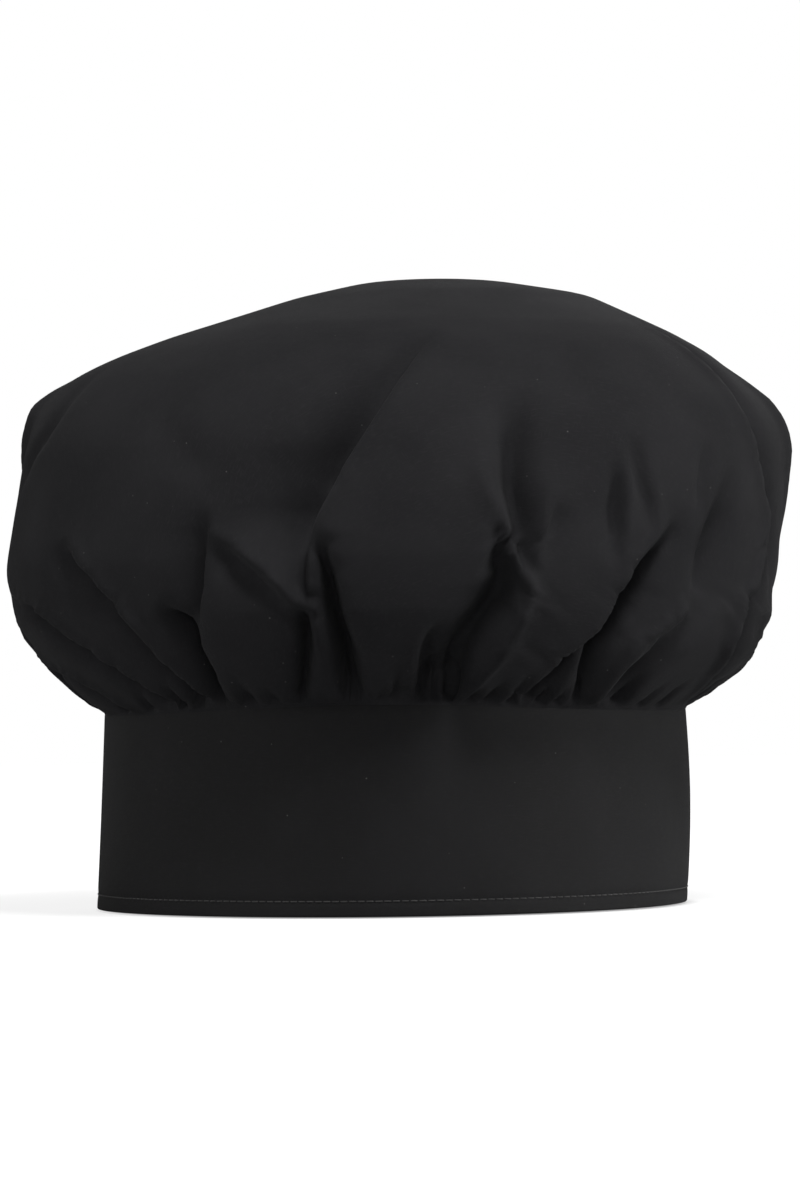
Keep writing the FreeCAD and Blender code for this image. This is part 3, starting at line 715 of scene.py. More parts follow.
# %% Band shape
SHELL_OUT = 1.5
BAND_LEAN_IN = 2.0
SHELL_LEVEL, LINING_LEVEL = SHELL_OUT, 0.0
HINGE_ANGLE = 204.0
HINGE_GAP = 0.12
MM_PER_DEGREE = 1.78  # along the band's sides, and nearer 1.6 at its back, where it only sets small spacings
JOGGLE = 10.0  # degrees over which the flap steps out
FLAP_STEP = 4.10
FLAP_TIP = 161.0
BAND_FROM = HINGE_ANGLE + HINGE_GAP - 360.0
BAND_TO = 199.0


def band_slack(angle, height):
    """How far the soft band stands off its plain oval."""
    turn = np.radians(angle)
    low = 1 - height / BAND_TOP
    left, right = np.clip(-np.sin(turn), 0, 1), np.clip(np.sin(turn), 0, 1)
    belly = np.sin(np.pi * np.clip(height / BAND_TOP, 0, 1))
    flare = 0.9 * left * low - 2.0 * right ** 2 * low + 1.3 * right ** 2 * belly
    waves = 0.35 * np.sin(3 * turn + 0.6) * (0.4 + low) + 0.22 * np.sin(7 * turn + 2.1) * (0.3 + belly)
    return flare + waves * np.clip(np.cos(turn) + 0.6, 0, 1)


def flap_step(angle):
    return FLAP_STEP * ease((HINGE_ANGLE - angle) / JOGGLE)


def band_point(angle, height, level, on_flap=False):
    """A point of the band in millimetres, and the direction that is outwards there."""
    angle, height, level = np.broadcast_arrays(*(np.asarray(a, float) for a in (angle, height, level)))
    turn = np.radians(angle)
    shrink = SHELL_OUT + BAND_LEAN_IN * height / BAND_TOP
    half_x, half_y = BAND_HIGH.x / MM - shrink, BAND_HIGH.y / MM - shrink
    out = np.stack([np.sin(turn) / half_x, -np.cos(turn) / half_y, np.zeros_like(turn)], axis=-1)
    out /= np.linalg.norm(out, axis=-1, keepdims=True)
    far = level + band_slack(angle, height) + (flap_step(angle) if on_flap else 0.0)
    oval = np.stack([half_x * np.sin(turn), -half_y * np.cos(turn), height], axis=-1)
    return oval + out * far[..., None], out


def even_angles(start, end, count, on_flap=False):
    """Angles that cut the band between start and end into equal lengths."""
    fine = np.linspace(start, end, 4000)
    line, _ = band_point(fine, STITCH_RISE, SHELL_LEVEL, on_flap)
    run = np.concatenate(([0.0], np.cumsum(np.linalg.norm(np.diff(line, axis=0), axis=1))))
    return np.interp(np.linspace(0, run[-1], count + 1), run, fine), run[-1]


STITCH_RISE = 4.4
STITCH_LENGTH = 2.5
print(f"band: {even_angles(BAND_FROM, BAND_TO, 10)[1]:.0f} mm round")

# %% [markdown]
# ## The band's plies
# Each ply is a grid of cloth wrapped round the oval: the outer one runs down to the pressed foot, rolls
# under it and turns back up inside. Where the row of stitches pulls the plies together the cloth sinks a
# little, and it sinks more at every needle hole, so the foot looks sewn.

# %% Band plies
COLUMNS_PER_STITCH = 4
STITCH_SINK = 0.16  # along the row, and as much again at a needle hole


def cloth_grid(name, columns, rows, place):
    """A grid of cloth. place turns its two counts, as whole numbers, into points and cut places."""
    deselect_all()
    bpy.ops.mesh.primitive_grid_add(x_subdivisions=columns, y_subdivisions=rows, size=1.0)
    piece = bpy.context.object
    piece.name = name
    flat = places(piece)
    column = np.round((flat[:, 0] + 0.5) * columns).astype(int)
    row = np.round((flat[:, 1] + 0.5) * rows).astype(int)
    points, cut = place(column, row)
    for layer in list(piece.data.uv_layers):
        piece.data.uv_layers.remove(layer)
    put(piece, points * MM)
    map_from_cut(piece, cut)
    return piece


def plain_rows(foot, top, step=3.0):
    """Heights from foot to top, close together round the row of stitches."""
    near = [h for h in (1.0, 1.9, 2.7, 3.3, 3.9, 4.4, 4.9, 5.5, 6.4, 7.6, 9.4) if foot < h < top]
    start = near[-1] if near else foot
    count = max(1, round((top - start) / step))
    return near + list(np.linspace(start, top, count + 1)[1:])


def stitch_pull(height, phase, top_row):
    """How far the cloth sinks along a row of stitches: phase is 0 at a needle hole and 1 at the next."""
    holes = 2 * np.abs(phase - 0.5)
    total = np.zeros_like(height)
    for rise in (STITCH_RISE, top_row):
        away = np.abs(height - rise)
        total += STITCH_SINK * (np.exp(-(away / 1.2) ** 2) + holes ** 4 * np.exp(-(away / 0.7) ** 2))
    return total


def band_ply(name, start, end, profile, facing, on_flap=False, top_row=-50.0, drop=True, tip_corner=0.0):
    """One ply of the band or flap. profile lists its rows from the bottom up, as (height, level)."""
    run = even_angles(start, end, 10, on_flap=on_flap)[1]
    stitches = round(run / STITCH_LENGTH)
    columns = stitches * COLUMNS_PER_STITCH
    angles, _ = even_angles(start, end, columns, on_flap=on_flap)
    heights = np.array([h for h, _ in profile])
    levels = np.array([lev for _, lev in profile])
    along_profile = np.concatenate(([0.0], np.cumsum(np.hypot(np.diff(heights), np.diff(levels)))))

    def place(column, row):
        angle, height, level = angles[column], heights[row], levels[row]
        phase = (column % COLUMNS_PER_STITCH) / COLUMNS_PER_STITCH
        sink = stitch_pull(height, phase, top_row)
        if drop:
            high = ease((height - BAND_TOP + 14) / 14)
            height = height - seam_drop(angle) * high
        if tip_corner:
            edge = np.minimum(height, heights.max() - height)
            short = np.maximum(tip_corner - edge, 0)
            back = tip_corner - np.sqrt(np.maximum(tip_corner ** 2 - short ** 2, 0))
            share = (angle - start) / (end - start)
            angle = angle + back / MM_PER_DEGREE * (1 - share) ** 2
            rim = np.clip(1 - (angle - start) * MM_PER_DEGREE / 0.9, 0, 1)
            sink = sink + 0.55 * (1 - np.sqrt(1 - np.minimum(rim, 1) ** 2))
        points, _ = band_point(angle, height, level - facing * sink, on_flap)
        return points, np.stack([column / columns * run, along_profile[row]], axis=-1)

    piece = cloth_grid(name, columns, len(profile) - 1, place)
    if facing < 0:
        make_active(piece)
        bpy.ops.object.mode_set(mode="EDIT")
        bpy.ops.mesh.select_all(action="SELECT")
        bpy.ops.mesh.flip_normals()
        bpy.ops.object.mode_set(mode="OBJECT")
    thicken(piece, CLOTH_THICKNESS)
    print(f"{name}: {run:.0f} mm long, {stitches} stitches, {len(piece.data.polygons)} faces")
    return piece


def shell_profile(top):
    """Up inside the foot, round its pressed edge, up the outside and over the turned upper edge."""
    inside = [(7.0, 0.95), (2.5, 0.95), (0.6, 0.98), (0.15, 1.10), (0.0, 1.28), (0.22, 1.46),
              (0.55, SHELL_LEVEL)]
    over = [(top - 0.15, 1.42), (top, 1.24), (top - 0.2, 1.10), (top - 2.5, 1.06)]
    return inside + [(h, SHELL_LEVEL) for h in plain_rows(0.55, top - 0.5)] + over


def lining_profile(top):
    inside = [(7.0, 0.62), (2.5, 0.62), (0.9, 0.58), (0.45, 0.45), (0.3, 0.25), (0.5, 0.06),
              (0.8, LINING_LEVEL)]
    over = [(top - 0.15, 0.08), (top, 0.25), (top - 0.2, 0.38), (top - 2.5, 0.42)]
    return inside + [(h, LINING_LEVEL) for h in plain_rows(0.8, top - 0.5)] + over


band_shell = band_ply("band_shell", BAND_FROM, BAND_TO, shell_profile(BAND_TOP), 1)
band_lining = band_ply("band_inner_ply", BAND_FROM, BAND_TO, lining_profile(BAND_TOP), -1)
stiff_rows = [(0.9, 0.86)] + [(h, 0.86) for h in plain_rows(0.9, BAND_TOP - SEAM_ALLOWANCE - 0.5, 6.0)]
band_stiffening = band_ply("band_stiffening", BAND_FROM + 0.5, BAND_TO - 0.5, stiff_rows, 1)

# %% [markdown]
# ## The crown's tucked edge
# The edge of the crown's circle is drawn down between the band's plies. Two extrusions of the seam edge
# make it, the first to just below the band's upper edge and the second down to the end of the seam
# allowance.

# %% Tucked edge
def tuck_crown():
    seam = noted(crown, "reach") < 0.01
    make_active(crown)
    bpy.ops.object.mode_set(mode="EDIT")
    bpy.ops.mesh.select_mode(type="EDGE")
    bpy.ops.mesh.select_all(action="DESELECT")
    bpy.ops.object.mode_set(mode="OBJECT")
    for edge in crown.data.edges:
        a, b = edge.vertices
        edge.select = bool(seam[a] and seam[b])
    for fall in (1.5, SEAM_ALLOWANCE):
        bpy.ops.object.mode_set(mode="EDIT")
        bpy.ops.mesh.extrude_edges_move()
        bpy.ops.object.mode_set(mode="OBJECT")
        chosen = np.zeros(len(crown.data.vertices), dtype=bool)
        crown.data.vertices.foreach_get("select", chosen)
        angle = noted(crown, "angle")[chosen]
        tucked, _ = band_point(angle, BAND_TOP - seam_drop(angle) - fall, TUCKED_LEVEL)
        points = places(crown)
        points[chosen] = tucked * MM
        put(crown, points)


tuck_crown()
print(f"crown with its tucked edge: {len(crown.data.polygons)} faces")

# %% [markdown]
# ## The slit's binding
# A strip of the same cloth is folded over both edges of the slit. It is a grid whose rows run up one
# side, round the tip and down the other, and whose columns wrap from the outside over the edge to the
# inside. Every point is found on the crown's own surface first, so that the strip follows its folds.

# %% Slit binding
BINDING_FROM = 1.5
SLIT_REACH = float(ring_reach(RINGS - SLIT_RINGS))
# distance from the slit's edge, and height over the crown's cloth
BINDING_WRAP = ((5.0, 0.10), (4.8, 0.42), (4.0, 0.40), (2.6, 0.46), (1.2, 0.50), (0.1, 0.46), (-0.5, 0.15),
                (-0.6, -0.2), (-0.4, -0.6), (0.4, -0.85), (2.5, -0.85), (4.6, -0.80), (5.0, -0.45))


def ring_line(ring, side):
    """The crown's ring as a line that starts at the slit, going away from it on one side."""
    mine = np.nonzero(RING == ring)[0]
    mine = mine[np.argsort(SHARE[mine])]
    line = settled_points[mine]
    if ring < RINGS - SLIT_RINGS:
        line = np.concatenate([line, line[:1]])
    return line if side < 0 else line[::-1]


def on_crown(side, reach, sideways):
    """The crown's cloth on one side of the slit, at a reach and at a distance from the slit's edge."""
    rings = np.arange(RINGS + 1)
    exact = np.interp(-reach, -ring_reach(rings), rings)
    low = int(min(np.floor(exact), RINGS - 1))
    spots = []
    for ring in (low, low + 1):
        line = ring_line(ring, side)
        run = np.concatenate(([0.0], np.cumsum(np.linalg.norm(np.diff(line, axis=0), axis=1))))
        spots.append([np.interp(sideways, run, line[:, axis]) for axis in range(3)])
    share = exact - low
    point = (np.array(spots[0]) * (1 - share) + np.array(spots[1]) * share) * MM
    _, surface, normal, _ = crown.closest_point_on_mesh(point)
    return np.array(surface) / MM, np.array(normal)


def binding_path(sideways):
    """Points and outward directions along a line that keeps its distance from the slit's edge."""
    rise = np.linspace(BINDING_FROM, SLIT_REACH, 24)
    stops = [(-1, b, max(sideways, 0.0)) for b in rise]
    for turn in np.radians(np.arange(160, 0, -20)):
        far = max(sideways, 0.25)
        side = -1 if math.cos(turn) < 0 else 1
        stops.append((side, SLIT_REACH + far * math.sin(turn), far * abs(math.cos(turn))))
    stops += [(1, b, max(sideways, 0.0)) for b in rise[::-1]]
    found = [on_crown(*stop) for stop in stops]
    points, normals = np.array([f[0] for f in found]), np.array([f[1] for f in found])
    if sideways < 0:
        inner = np.array([on_crown(side, b, 1.5)[0] for side, b, _ in stops])
        away = points - inner
        points = points + away / np.maximum(np.linalg.norm(away, axis=1, keepdims=True), 1e-6) * -sideways
    return points, normals


def make_binding():
    rows = [binding_path(sideways) for sideways, _ in BINDING_WRAP]
    along = len(rows[0][0]) - 1
    wrap = np.array(BINDING_WRAP)
    lines = np.array([points + normals * lift for (points, normals), (_, lift) in zip(rows, BINDING_WRAP)])
    across_cut = np.concatenate(([0.0], np.cumsum(np.hypot(np.diff(wrap[:, 0]), np.diff(wrap[:, 1])))))

    def place(column, row):
        return lines[row, column], np.stack([column * 2.0, across_cut[row]], axis=-1)

    return cloth_grid("slit_binding_strip", along, len(BINDING_WRAP) - 1, place)


slit_binding = make_binding()
make_active(slit_binding)
bpy.ops.object.mode_set(mode="EDIT")
bpy.ops.mesh.select_all(action="SELECT")
bpy.ops.mesh.normals_make_consistent(inside=False)
bpy.ops.object.mode_set(mode="OBJECT")
print(f"slit binding: {len(slit_binding.data.polygons)} faces, slit {SLIT_REACH:.0f} mm long")
thicken(crown, CLOTH_THICKNESS)
thicken(slit_binding, 0.2)
print(f"crown as a solid: {len(crown.data.polygons)} faces")

# %% [markdown]
# ## The closure flap
# The flap is the band's own end, made of the same three plies. Its inner and outer ply have rounded
# corners at the free end. It steps out over the underlap by the thickness of the two tapes.

# %% Closure flap
FLAP_TOP = BAND_TOP - 1.6
FLAP_ROOT = HINGE_ANGLE - HINGE_GAP
FLAP_TOP_STITCH = FLAP_TOP - 2.6
CORNER = 4.0

flap_shell = band_ply("flap_shell", FLAP_TIP, FLAP_ROOT, shell_profile(FLAP_TOP), 1, on_flap=True,
                      top_row=FLAP_TOP_STITCH, drop=False, tip_corner=CORNER)
flap_lining = band_ply("flap_inner_ply", FLAP_TIP, FLAP_ROOT, lining_profile(FLAP_TOP), -1, on_flap=True,
                       top_row=FLAP_TOP_STITCH, drop=False, tip_corner=CORNER)
flap_stiff_rows = [(0.9, 0.86)] + [(h, 0.86) for h in plain_rows(0.9, FLAP_TOP - 3.4, 6.0)]
flap_stiffening = band_ply("flap_stiffening", FLAP_TIP + 0.6, FLAP_ROOT - 0.5, flap_stiff_rows, 1,
                           on_flap=True, top_row=FLAP_TOP_STITCH, drop=False)

# %% [markdown]
# ## One stitch, one pile loop, one hook
# All three are short bent tubes. A small ring is extruded into a straight tube, and its rings are then
# moved onto the bend. Each is made once with a few dozen faces, because hundreds of them are copied.

# %% Moulds for stitches, loops and hooks
THREAD = 0.34
PLACED = []


def tube_mould(name, path, thickness, sides=6):
    """A closed tube along path, a list of (forward, up) in millimetres, standing in the XZ plane."""
    deselect_all()
    bpy.ops.mesh.primitive_circle_add(vertices=sides, radius=thickness / 2 * MM, fill_type="NGON",
                                      rotation=(0, math.pi / 2, 0))
    tube = bpy.context.object
    tube.name = name
    bpy.ops.object.transform_apply(location=False, rotation=True, scale=False)
    bpy.ops.object.mode_set(mode="EDIT")
    bpy.ops.mesh.select_mode(type="FACE")
    bpy.ops.mesh.select_all(action="SELECT")
    for _ in path[1:]:
        bpy.ops.mesh.extrude_region_move(TRANSFORM_OT_translate={"value": (MM, 0, 0)})
    bpy.ops.mesh.select_all(action="SELECT")
    bpy.ops.mesh.normals_make_consistent(inside=False)
    bpy.ops.object.mode_set(mode="OBJECT")
    path = np.array(path, float)
    forward = np.gradient(path, axis=0)
    forward /= np.linalg.norm(forward, axis=1, keepdims=True)
    points = places(tube) / MM
    ring = np.round(points[:, 0]).astype(int)
    up = points[:, 2]
    points[:, 0] = path[ring, 0] - forward[ring, 1] * up
    points[:, 2] = path[ring, 1] + forward[ring, 0] * up
    put(tube, points * MM)
    make_active(tube)
    bpy.ops.object.shade_smooth()
    print(f"{name}: {len(tube.data.polygons)} faces")
    return tube


def copies(name, mould, spots, along, out):
    """Copies of the mould, each with its own mesh, set along and out at its spot, joined into one piece."""
    across = np.cross(out, along)
    across /= np.linalg.norm(across, axis=1, keepdims=True)
    out = np.cross(along, across)
    out /= np.linalg.norm(out, axis=1, keepdims=True)
    single = places(mould) / MM
    pieces = []
    for spot, x, y, z in zip(spots, along, across, out):
        piece = mould.copy()
        piece.data = mould.data.copy()
        bpy.context.collection.objects.link(piece)
        put(piece, (spot + single[:, :1] * x + single[:, 1:2] * y + single[:, 2:] * z) * MM)
        pieces.append(piece)
    deselect_all()
    for piece in pieces:
        piece.select_set(True)
    bpy.context.view_layer.objects.active = pieces[0]
    bpy.ops.object.join()
    joined = bpy.context.object
    joined.name = name
    joined.data.name = name
    PLACED.append(f"{name} {len(spots)}")
    return joined


def stitch_path(length, rise=0.10):
    """A stitch lies on the cloth and dips into it at both ends."""
    half = length / 2
    return [(-half, -0.22), (-half * 0.80, rise - 0.06), (-half * 0.3, rise + 0.06),
            (half * 0.3, rise + 0.06), (half * 0.80, rise - 0.06), (half, -0.22)]


stitch = tube_mould("stitch", stitch_path(STITCH_LENGTH * 0.86), THREAD)
small_stitch = tube_mould("small_stitch", stitch_path(1.9), 0.3)
tack_stitch = tube_mould("tack_stitch", stitch_path(2.2, 0.2), 0.36)
loop_bend = [(-0.36, 0), (-0.42, 0.35), (-0.2, 0.62), (0.2, 0.62), (0.42, 0.35), (0.36, 0)]
pile_loop = tube_mould("pile_loop", loop_bend, 0.16, sides=4)
hook_bend = [(-0.2, 0), (-0.22, 0.45), (-0.1, 0.74), (0.2, 0.78), (0.38, 0.6), (0.34, 0.46)]
hook = tube_mould("hook", hook_bend, 0.17, sides=4)
MOULDS = [stitch, small_stitch, tack_stitch, pile_loop, hook]

# %% [markdown]
# ## Rows of stitches
# A row is a line on the cloth, cut into equal stitches. The line is given by angles and heights on the
# band or by points on the crown, and each stitch gets the direction of its line and the way out of the
# cloth.


# %% Rows of stitches
def row_of_stitches(name, mould, points, outward, pitch, lift=0.0):
    run = np.concatenate(([0.0], np.cumsum(np.linalg.norm(np.diff(points, axis=0), axis=1))))
    count = max(1, round(run[-1] / pitch))
    middles = (np.arange(count) + 0.5) * run[-1] / count
    ends = [np.clip(middles + sign * 0.4 * pitch, 0, run[-1]) for sign in (-1, 1)]

    def at(spots, values):
        return np.stack([np.interp(spots, run, values[:, axis]) for axis in range(3)], axis=-1)

    along = at(ends[1], points) - at(ends[0], points)
    along /= np.linalg.norm(along, axis=1, keepdims=True)
    out = at(middles, outward)
    out /= np.linalg.norm(out, axis=1, keepdims=True)
    return copies(name, mould, at(middles, points) + out * lift, along, out)


def band_line(corners, level, on_flap=False, facing=1):
    """A line on the band through its corners, given as (angle, height)."""
    corners = np.array(corners, float)
    share = np.linspace(0, len(corners) - 1, 300 * (len(corners) - 1) + 1)
    spots = [np.interp(share, np.arange(len(corners)), corners[:, i]) for i in range(2)]
    points, out = band_point(spots[0], spots[1], level, on_flap)
    return points, out * facing


SUNK = 0.22  # the cloth lies this much deeper along a row
INSIDE = LINING_LEVEL + SUNK

band_ends = [(BAND_FROM, STITCH_RISE), (BAND_TO, STITCH_RISE)]
topstitches = row_of_stitches("topstitches", stitch, *band_line(band_ends, SHELL_LEVEL - SUNK), STITCH_LENGTH)
bobbin_stitches = row_of_stitches("topstitches_inside", stitch, *band_line(band_ends, INSIDE, facing=-1),
                                  STITCH_LENGTH)


def hidden_row(name, drop, level, pitch):
    ends = [(BAND_FROM + 1, BAND_TOP - drop), (BAND_TO - 1, BAND_TOP - drop)]
    return row_of_stitches(name, small_stitch, *band_line(ends, level), pitch)


seam_stitches = hidden_row("crown_seam_stitches", 4.4, 0.95, 2.5)
gather_rows = [hidden_row(f"gathering_row_{i}", drop, 0.55, 4.0) for i, drop in enumerate((5.6, 8.2))]
deselect_all()
for row in gather_rows:
    row.select_set(True)
bpy.context.view_layer.objects.active = gather_rows[0]
bpy.ops.object.join()
gathering_stitches = bpy.context.object
gathering_stitches.name = "gathering_stitches"

flap_corners = [(FLAP_ROOT - 0.4, STITCH_RISE), (FLAP_TIP + 2.0, STITCH_RISE),
                (FLAP_TIP + 2.0, FLAP_TOP_STITCH), (FLAP_ROOT - 0.4, FLAP_TOP_STITCH)]
flap_stitches = row_of_stitches("flap_stitches", stitch, *band_line(flap_corners, SHELL_LEVEL - SUNK, True),
                                STITCH_LENGTH)
flap_bobbin = row_of_stitches("flap_stitches_inside", stitch, *band_line(flap_corners, INSIDE, True, -1),
                              STITCH_LENGTH)

HOOK_FROM, HOOK_TO = 163.5, 190.0
LOOP_FROM, LOOP_TO = 153.0, 195.0
TAPE_FOOT, TAPE_TOP = 13.0, 51.0
LOOP_BASE, HOOK_BASE = 2.10, -0.05


def tape_corners(start, end):
    inset, low, high = 1.2, TAPE_FOOT + 2.2, TAPE_TOP - 2.2
    corners = [(start + inset, low), (end - inset, low), (end - inset, high), (start + inset, high)]
    return corners + corners[:1]


hook_stitches = row_of_stitches("hook_tape_stitches", small_stitch,
                                *band_line(tape_corners(HOOK_FROM, HOOK_TO), SHELL_LEVEL, True), 2.2)
loop_stitches = row_of_stitches("loop_tape_stitches", small_stitch,
                                *band_line(tape_corners(LOOP_FROM, LOOP_TO), LOOP_BASE), 2.2)
slit_stitches = row_of_stitches("slit_binding_stitches", small_stitch, *binding_path(4.0), 2.3, lift=0.42)

tack_spots, tack_out = [], []
for sideways in np.arange(-3.0, 3.01, 0.42):
    found, normal = on_crown(-1 if sideways < 0 else 1, SLIT_REACH + 2.2, abs(sideways))
    tack_spots.append(found + normal * 0.5)
    tack_out.append(normal)
tack_up = on_crown(1, SLIT_REACH + 4.5, 0.1)[0] - on_crown(1, SLIT_REACH + 0.5, 0.1)[0]
bar_tack = copies("slit_bar_tack_stitches", tack_stitch, np.array(tack_spots),
                  np.tile(tack_up / np.linalg.norm(tack_up), (len(tack_spots), 1)), np.array(tack_out))
print("stitches:", ", ".join(PLACED))

# %% [markdown]
# ## Hook-and-loop tapes
# Each tape is a woven strip with rounded edges. The loop half carries small loops that lie every way, and
# the hook half carries rows of stiff hooks that all bend one way. Both are set out with a seeded jitter.


# %% Hook-and-loop tapes
def tape(name, start, end, level, facing, on_flap):
    columns, rows = 60, 30

    def place(column, row):
        angle = start + (end - start) * column / columns
        height = TAPE_FOOT + (TAPE_TOP - TAPE_FOOT) * row / rows
        rim = np.minimum(np.minimum(column, columns - column) / 2, np.minimum(row, rows - row))
        points, _ = band_point(angle, height, level - facing * 0.25 * (rim < 0.5), on_flap)
        return points, np.stack([column * 1.2, row * 1.2], axis=-1)

    piece = cloth_grid(name, columns, rows, place)
    if facing < 0:
        make_active(piece)
        bpy.ops.object.mode_set(mode="EDIT")
        bpy.ops.mesh.select_all(action="SELECT")
        bpy.ops.mesh.flip_normals()
        bpy.ops.object.mode_set(mode="OBJECT")
    thicken(piece, 0.5)
    return piece


def tape_field(name, mould, start, end, level, facing, on_flap, pitch, jitter, tidy):
    """The loops or hooks of a tape. tidy is 1 where all point one way and 0 where they lie every way."""
    draw = np.random.default_rng(23)
    across = np.arange(start + 2.6, end - 2.6, pitch / MM_PER_DEGREE)
    up = np.arange(TAPE_FOOT + 3.6, TAPE_TOP - 3.6, pitch)
    angle, height = (a.ravel() for a in np.meshgrid(across, up))
    angle = angle + draw.uniform(-jitter, jitter, len(angle)) / MM_PER_DEGREE
    height = height + draw.uniform(-jitter, jitter, len(height))
    points, out = band_point(angle, height, level, on_flap)
    spin = draw.uniform(0, 2 * math.pi, len(angle)) * (1 - tidy)
    flat = np.stack([-out[:, 1], out[:, 0], np.zeros(len(out))], axis=-1)
    along = flat * np.cos(spin)[:, None] + np.array([0, 0, 1.0]) * np.sin(spin)[:, None]
    return copies(name, mould, points, along, out * facing)


loop_tape = tape("loop_tape", LOOP_FROM, LOOP_TO, LOOP_BASE, 1, False)
loop_pile = tape_field("loop_pile", pile_loop, LOOP_FROM, LOOP_TO, LOOP_BASE - 0.05, 1, False, 1.15, 0.45, 0)
hook_tape = tape("hook_tape", HOOK_FROM, HOOK_TO, HOOK_BASE - 0.5, -1, True)
hook_field = tape_field("hooks", hook, HOOK_FROM, HOOK_TO, HOOK_BASE - 0.42, -1, True, 1.3, 0.08, 1)
print("tapes:", PLACED[-2:])

# %% [markdown]
# ## The ribbon label
# A blank ribbon is folded in half and sewn inside, just below the band's upper edge. It is one strip of
# cloth that runs down the back of the fold, round it and up the front.

# %% Ribbon label
LABEL_FROM, LABEL_TO = -123.0, -112.0
LABEL_TOP, LABEL_FOOT = BAND_TOP - 2.4, BAND_TOP - 17.5


def make_label():
    front = np.linspace(LABEL_TOP, LABEL_FOOT + 0.5, 14)
    down = [(h, -0.62 - 0.25 * math.sin((LABEL_TOP - h) / 6)) for h in front]
    fold = [(LABEL_FOOT + 0.1, -0.7), (LABEL_FOOT, -0.5), (LABEL_FOOT + 0.2, -0.3)]
    back = [(h, -0.2) for h in np.linspace(LABEL_FOOT + 0.8, LABEL_TOP, 12)]
    path = np.array(down + fold + back)[::-1]
    columns = 16

    def place(column, row):
        angle = LABEL_FROM + (LABEL_TO - LABEL_FROM) * column / columns
        curl = 0.25 * ((column / columns - 0.5) * 2) ** 2 * (BAND_TOP - path[row, 0]) / 17
        points, _ = band_point(angle, path[row, 0], path[row, 1] - curl)
        return points, np.stack([column * 1.1, row * 1.2], axis=-1)

    return cloth_grid("label_ribbon", columns, len(path) - 1, place)


label = make_label()
thicken(label, 0.12)
label_ends = [(LABEL_FROM + 0.7, LABEL_TOP - 1.4), (LABEL_TO - 0.7, LABEL_TOP - 1.4)]
label_stitches = row_of_stitches("label_stitches", small_stitch,
                                 *band_line(label_ends, -0.72, facing=-1), 2.2)
deselect_all()
for mould in MOULDS:
    mould.select_set(True)
bpy.ops.object.delete()
print("label:", len(label.data.polygons), "faces")

# %% [markdown]
# ## Shared effects
# Cloth, thread and tape share three effects, each a node group: a plain weave that follows the cut, soft
# rumples that follow the object, and stray lint. They put out masks and heights only, and each finish
# mixes its own colours from them.

# %% Node helpers


def new_group(name, inputs, outputs):
    group = bpy.data.node_groups.new(name, "ShaderNodeTree")
    for label, kind, value in inputs:
        socket = group.interface.new_socket(name=label, in_out="INPUT", socket_type=kind)
        if value is not None:
            socket.default_value = value
    for label in outputs:
        group.interface.new_socket(name=label, in_out="OUTPUT", socket_type="NodeSocketFloat")
    return group, group.nodes.new("NodeGroupInput"), group.nodes.new("NodeGroupOutput")


def feed(tree, value, socket):
    """Joins a socket to a socket, or sets it to a number."""
    if isinstance(value, bpy.types.NodeSocket):
        tree.links.new(value, socket)
    else:
        socket.default_value = value


def calc(tree, operation, first, second=0.0):
    node = tree.nodes.new("ShaderNodeMath")
    node.operation = operation
    feed(tree, first, node.inputs[0])
    feed(tree, second, node.inputs[1])
    return node.outputs[0]


def spread(tree, value, low, high):
    """0 at low, 1 at high and straight between."""
    node = tree.nodes.new("ShaderNodeMapRange")
    feed(tree, value, node.inputs["Value"])
    node.inputs["From Min"].default_value = low
    node.inputs["From Max"].default_value = high
    return node.outputs["Result"]


def noise(tree, place, scale, detail=2.0):
    node = tree.nodes.new("ShaderNodeTexNoise")
    feed(tree, place, node.inputs["Vector"])
    node.inputs["Scale"].default_value = scale
    node.inputs["Detail"].default_value = detail
    return node.outputs["Fac"]


def stretched(tree, place, factors):
    node = tree.nodes.new("ShaderNodeMapping")
    feed(tree, place, node.inputs["Vector"])
    node.inputs["Scale"].default_value = factors
    return node.outputs["Vector"]


# %% Weave, rumple and lint groups
VECTOR, FLOAT = "NodeSocketVector", "NodeSocketFloat"


def weave_group():
    """Plain weave. Place is in millimetres of cloth. Slub is where a thicker thread runs for a while."""
    group, start, end = new_group("plain weave", [("Place", VECTOR, None), ("Warp pitch", FLOAT, 0.28),
                                                  ("Weft pitch", FLOAT, 0.42)], ["Weave", "Slub"])
    split = group.nodes.new("ShaderNodeSeparateXYZ")
    feed(group, start.outputs["Place"], split.inputs[0])
    waves = []
    for axis, pitch in (("X", "Warp pitch"), ("Y", "Weft pitch")):
        turns = calc(group, "DIVIDE", split.outputs[axis], start.outputs[pitch])
        waves.append(calc(group, "SINE", calc(group, "MULTIPLY", turns, 2 * math.pi)))
    crossed = calc(group, "MULTIPLY", waves[0], waves[1])
    weave = calc(group, "MULTIPLY_ADD", crossed, 0.5)
    weave.node.inputs[2].default_value = 0.5
    feed(group, weave, end.inputs["Weave"])
    across = noise(group, stretched(group, start.outputs["Place"], (0.32, 2.2, 1)), 1.0)
    along = noise(group, stretched(group, start.outputs["Place"], (2.4, 0.3, 1)), 1.0)
    slub = calc(group, "MAXIMUM", spread(group, across, 0.52, 0.78), spread(group, along, 0.56, 0.82))
    feed(group, slub, end.inputs["Slub"])
    return group


def rumple_group():
    """Small creases and slack. Place is the object's own place, in metres."""
    group, start, end = new_group("soft rumple", [("Place", VECTOR, None)], ["Height", "Fade"])
    broad = noise(group, start.outputs["Place"], 34.0, 2.0)
    small = noise(group, start.outputs["Place"], 130.0, 3.0)
    height = calc(group, "MULTIPLY_ADD", small, 0.3)
    feed(group, broad, height.node.inputs[2])
    feed(group, height, end.inputs["Height"])
    feed(group, spread(group, broad, 0.35, 0.7), end.inputs["Fade"])
    return group


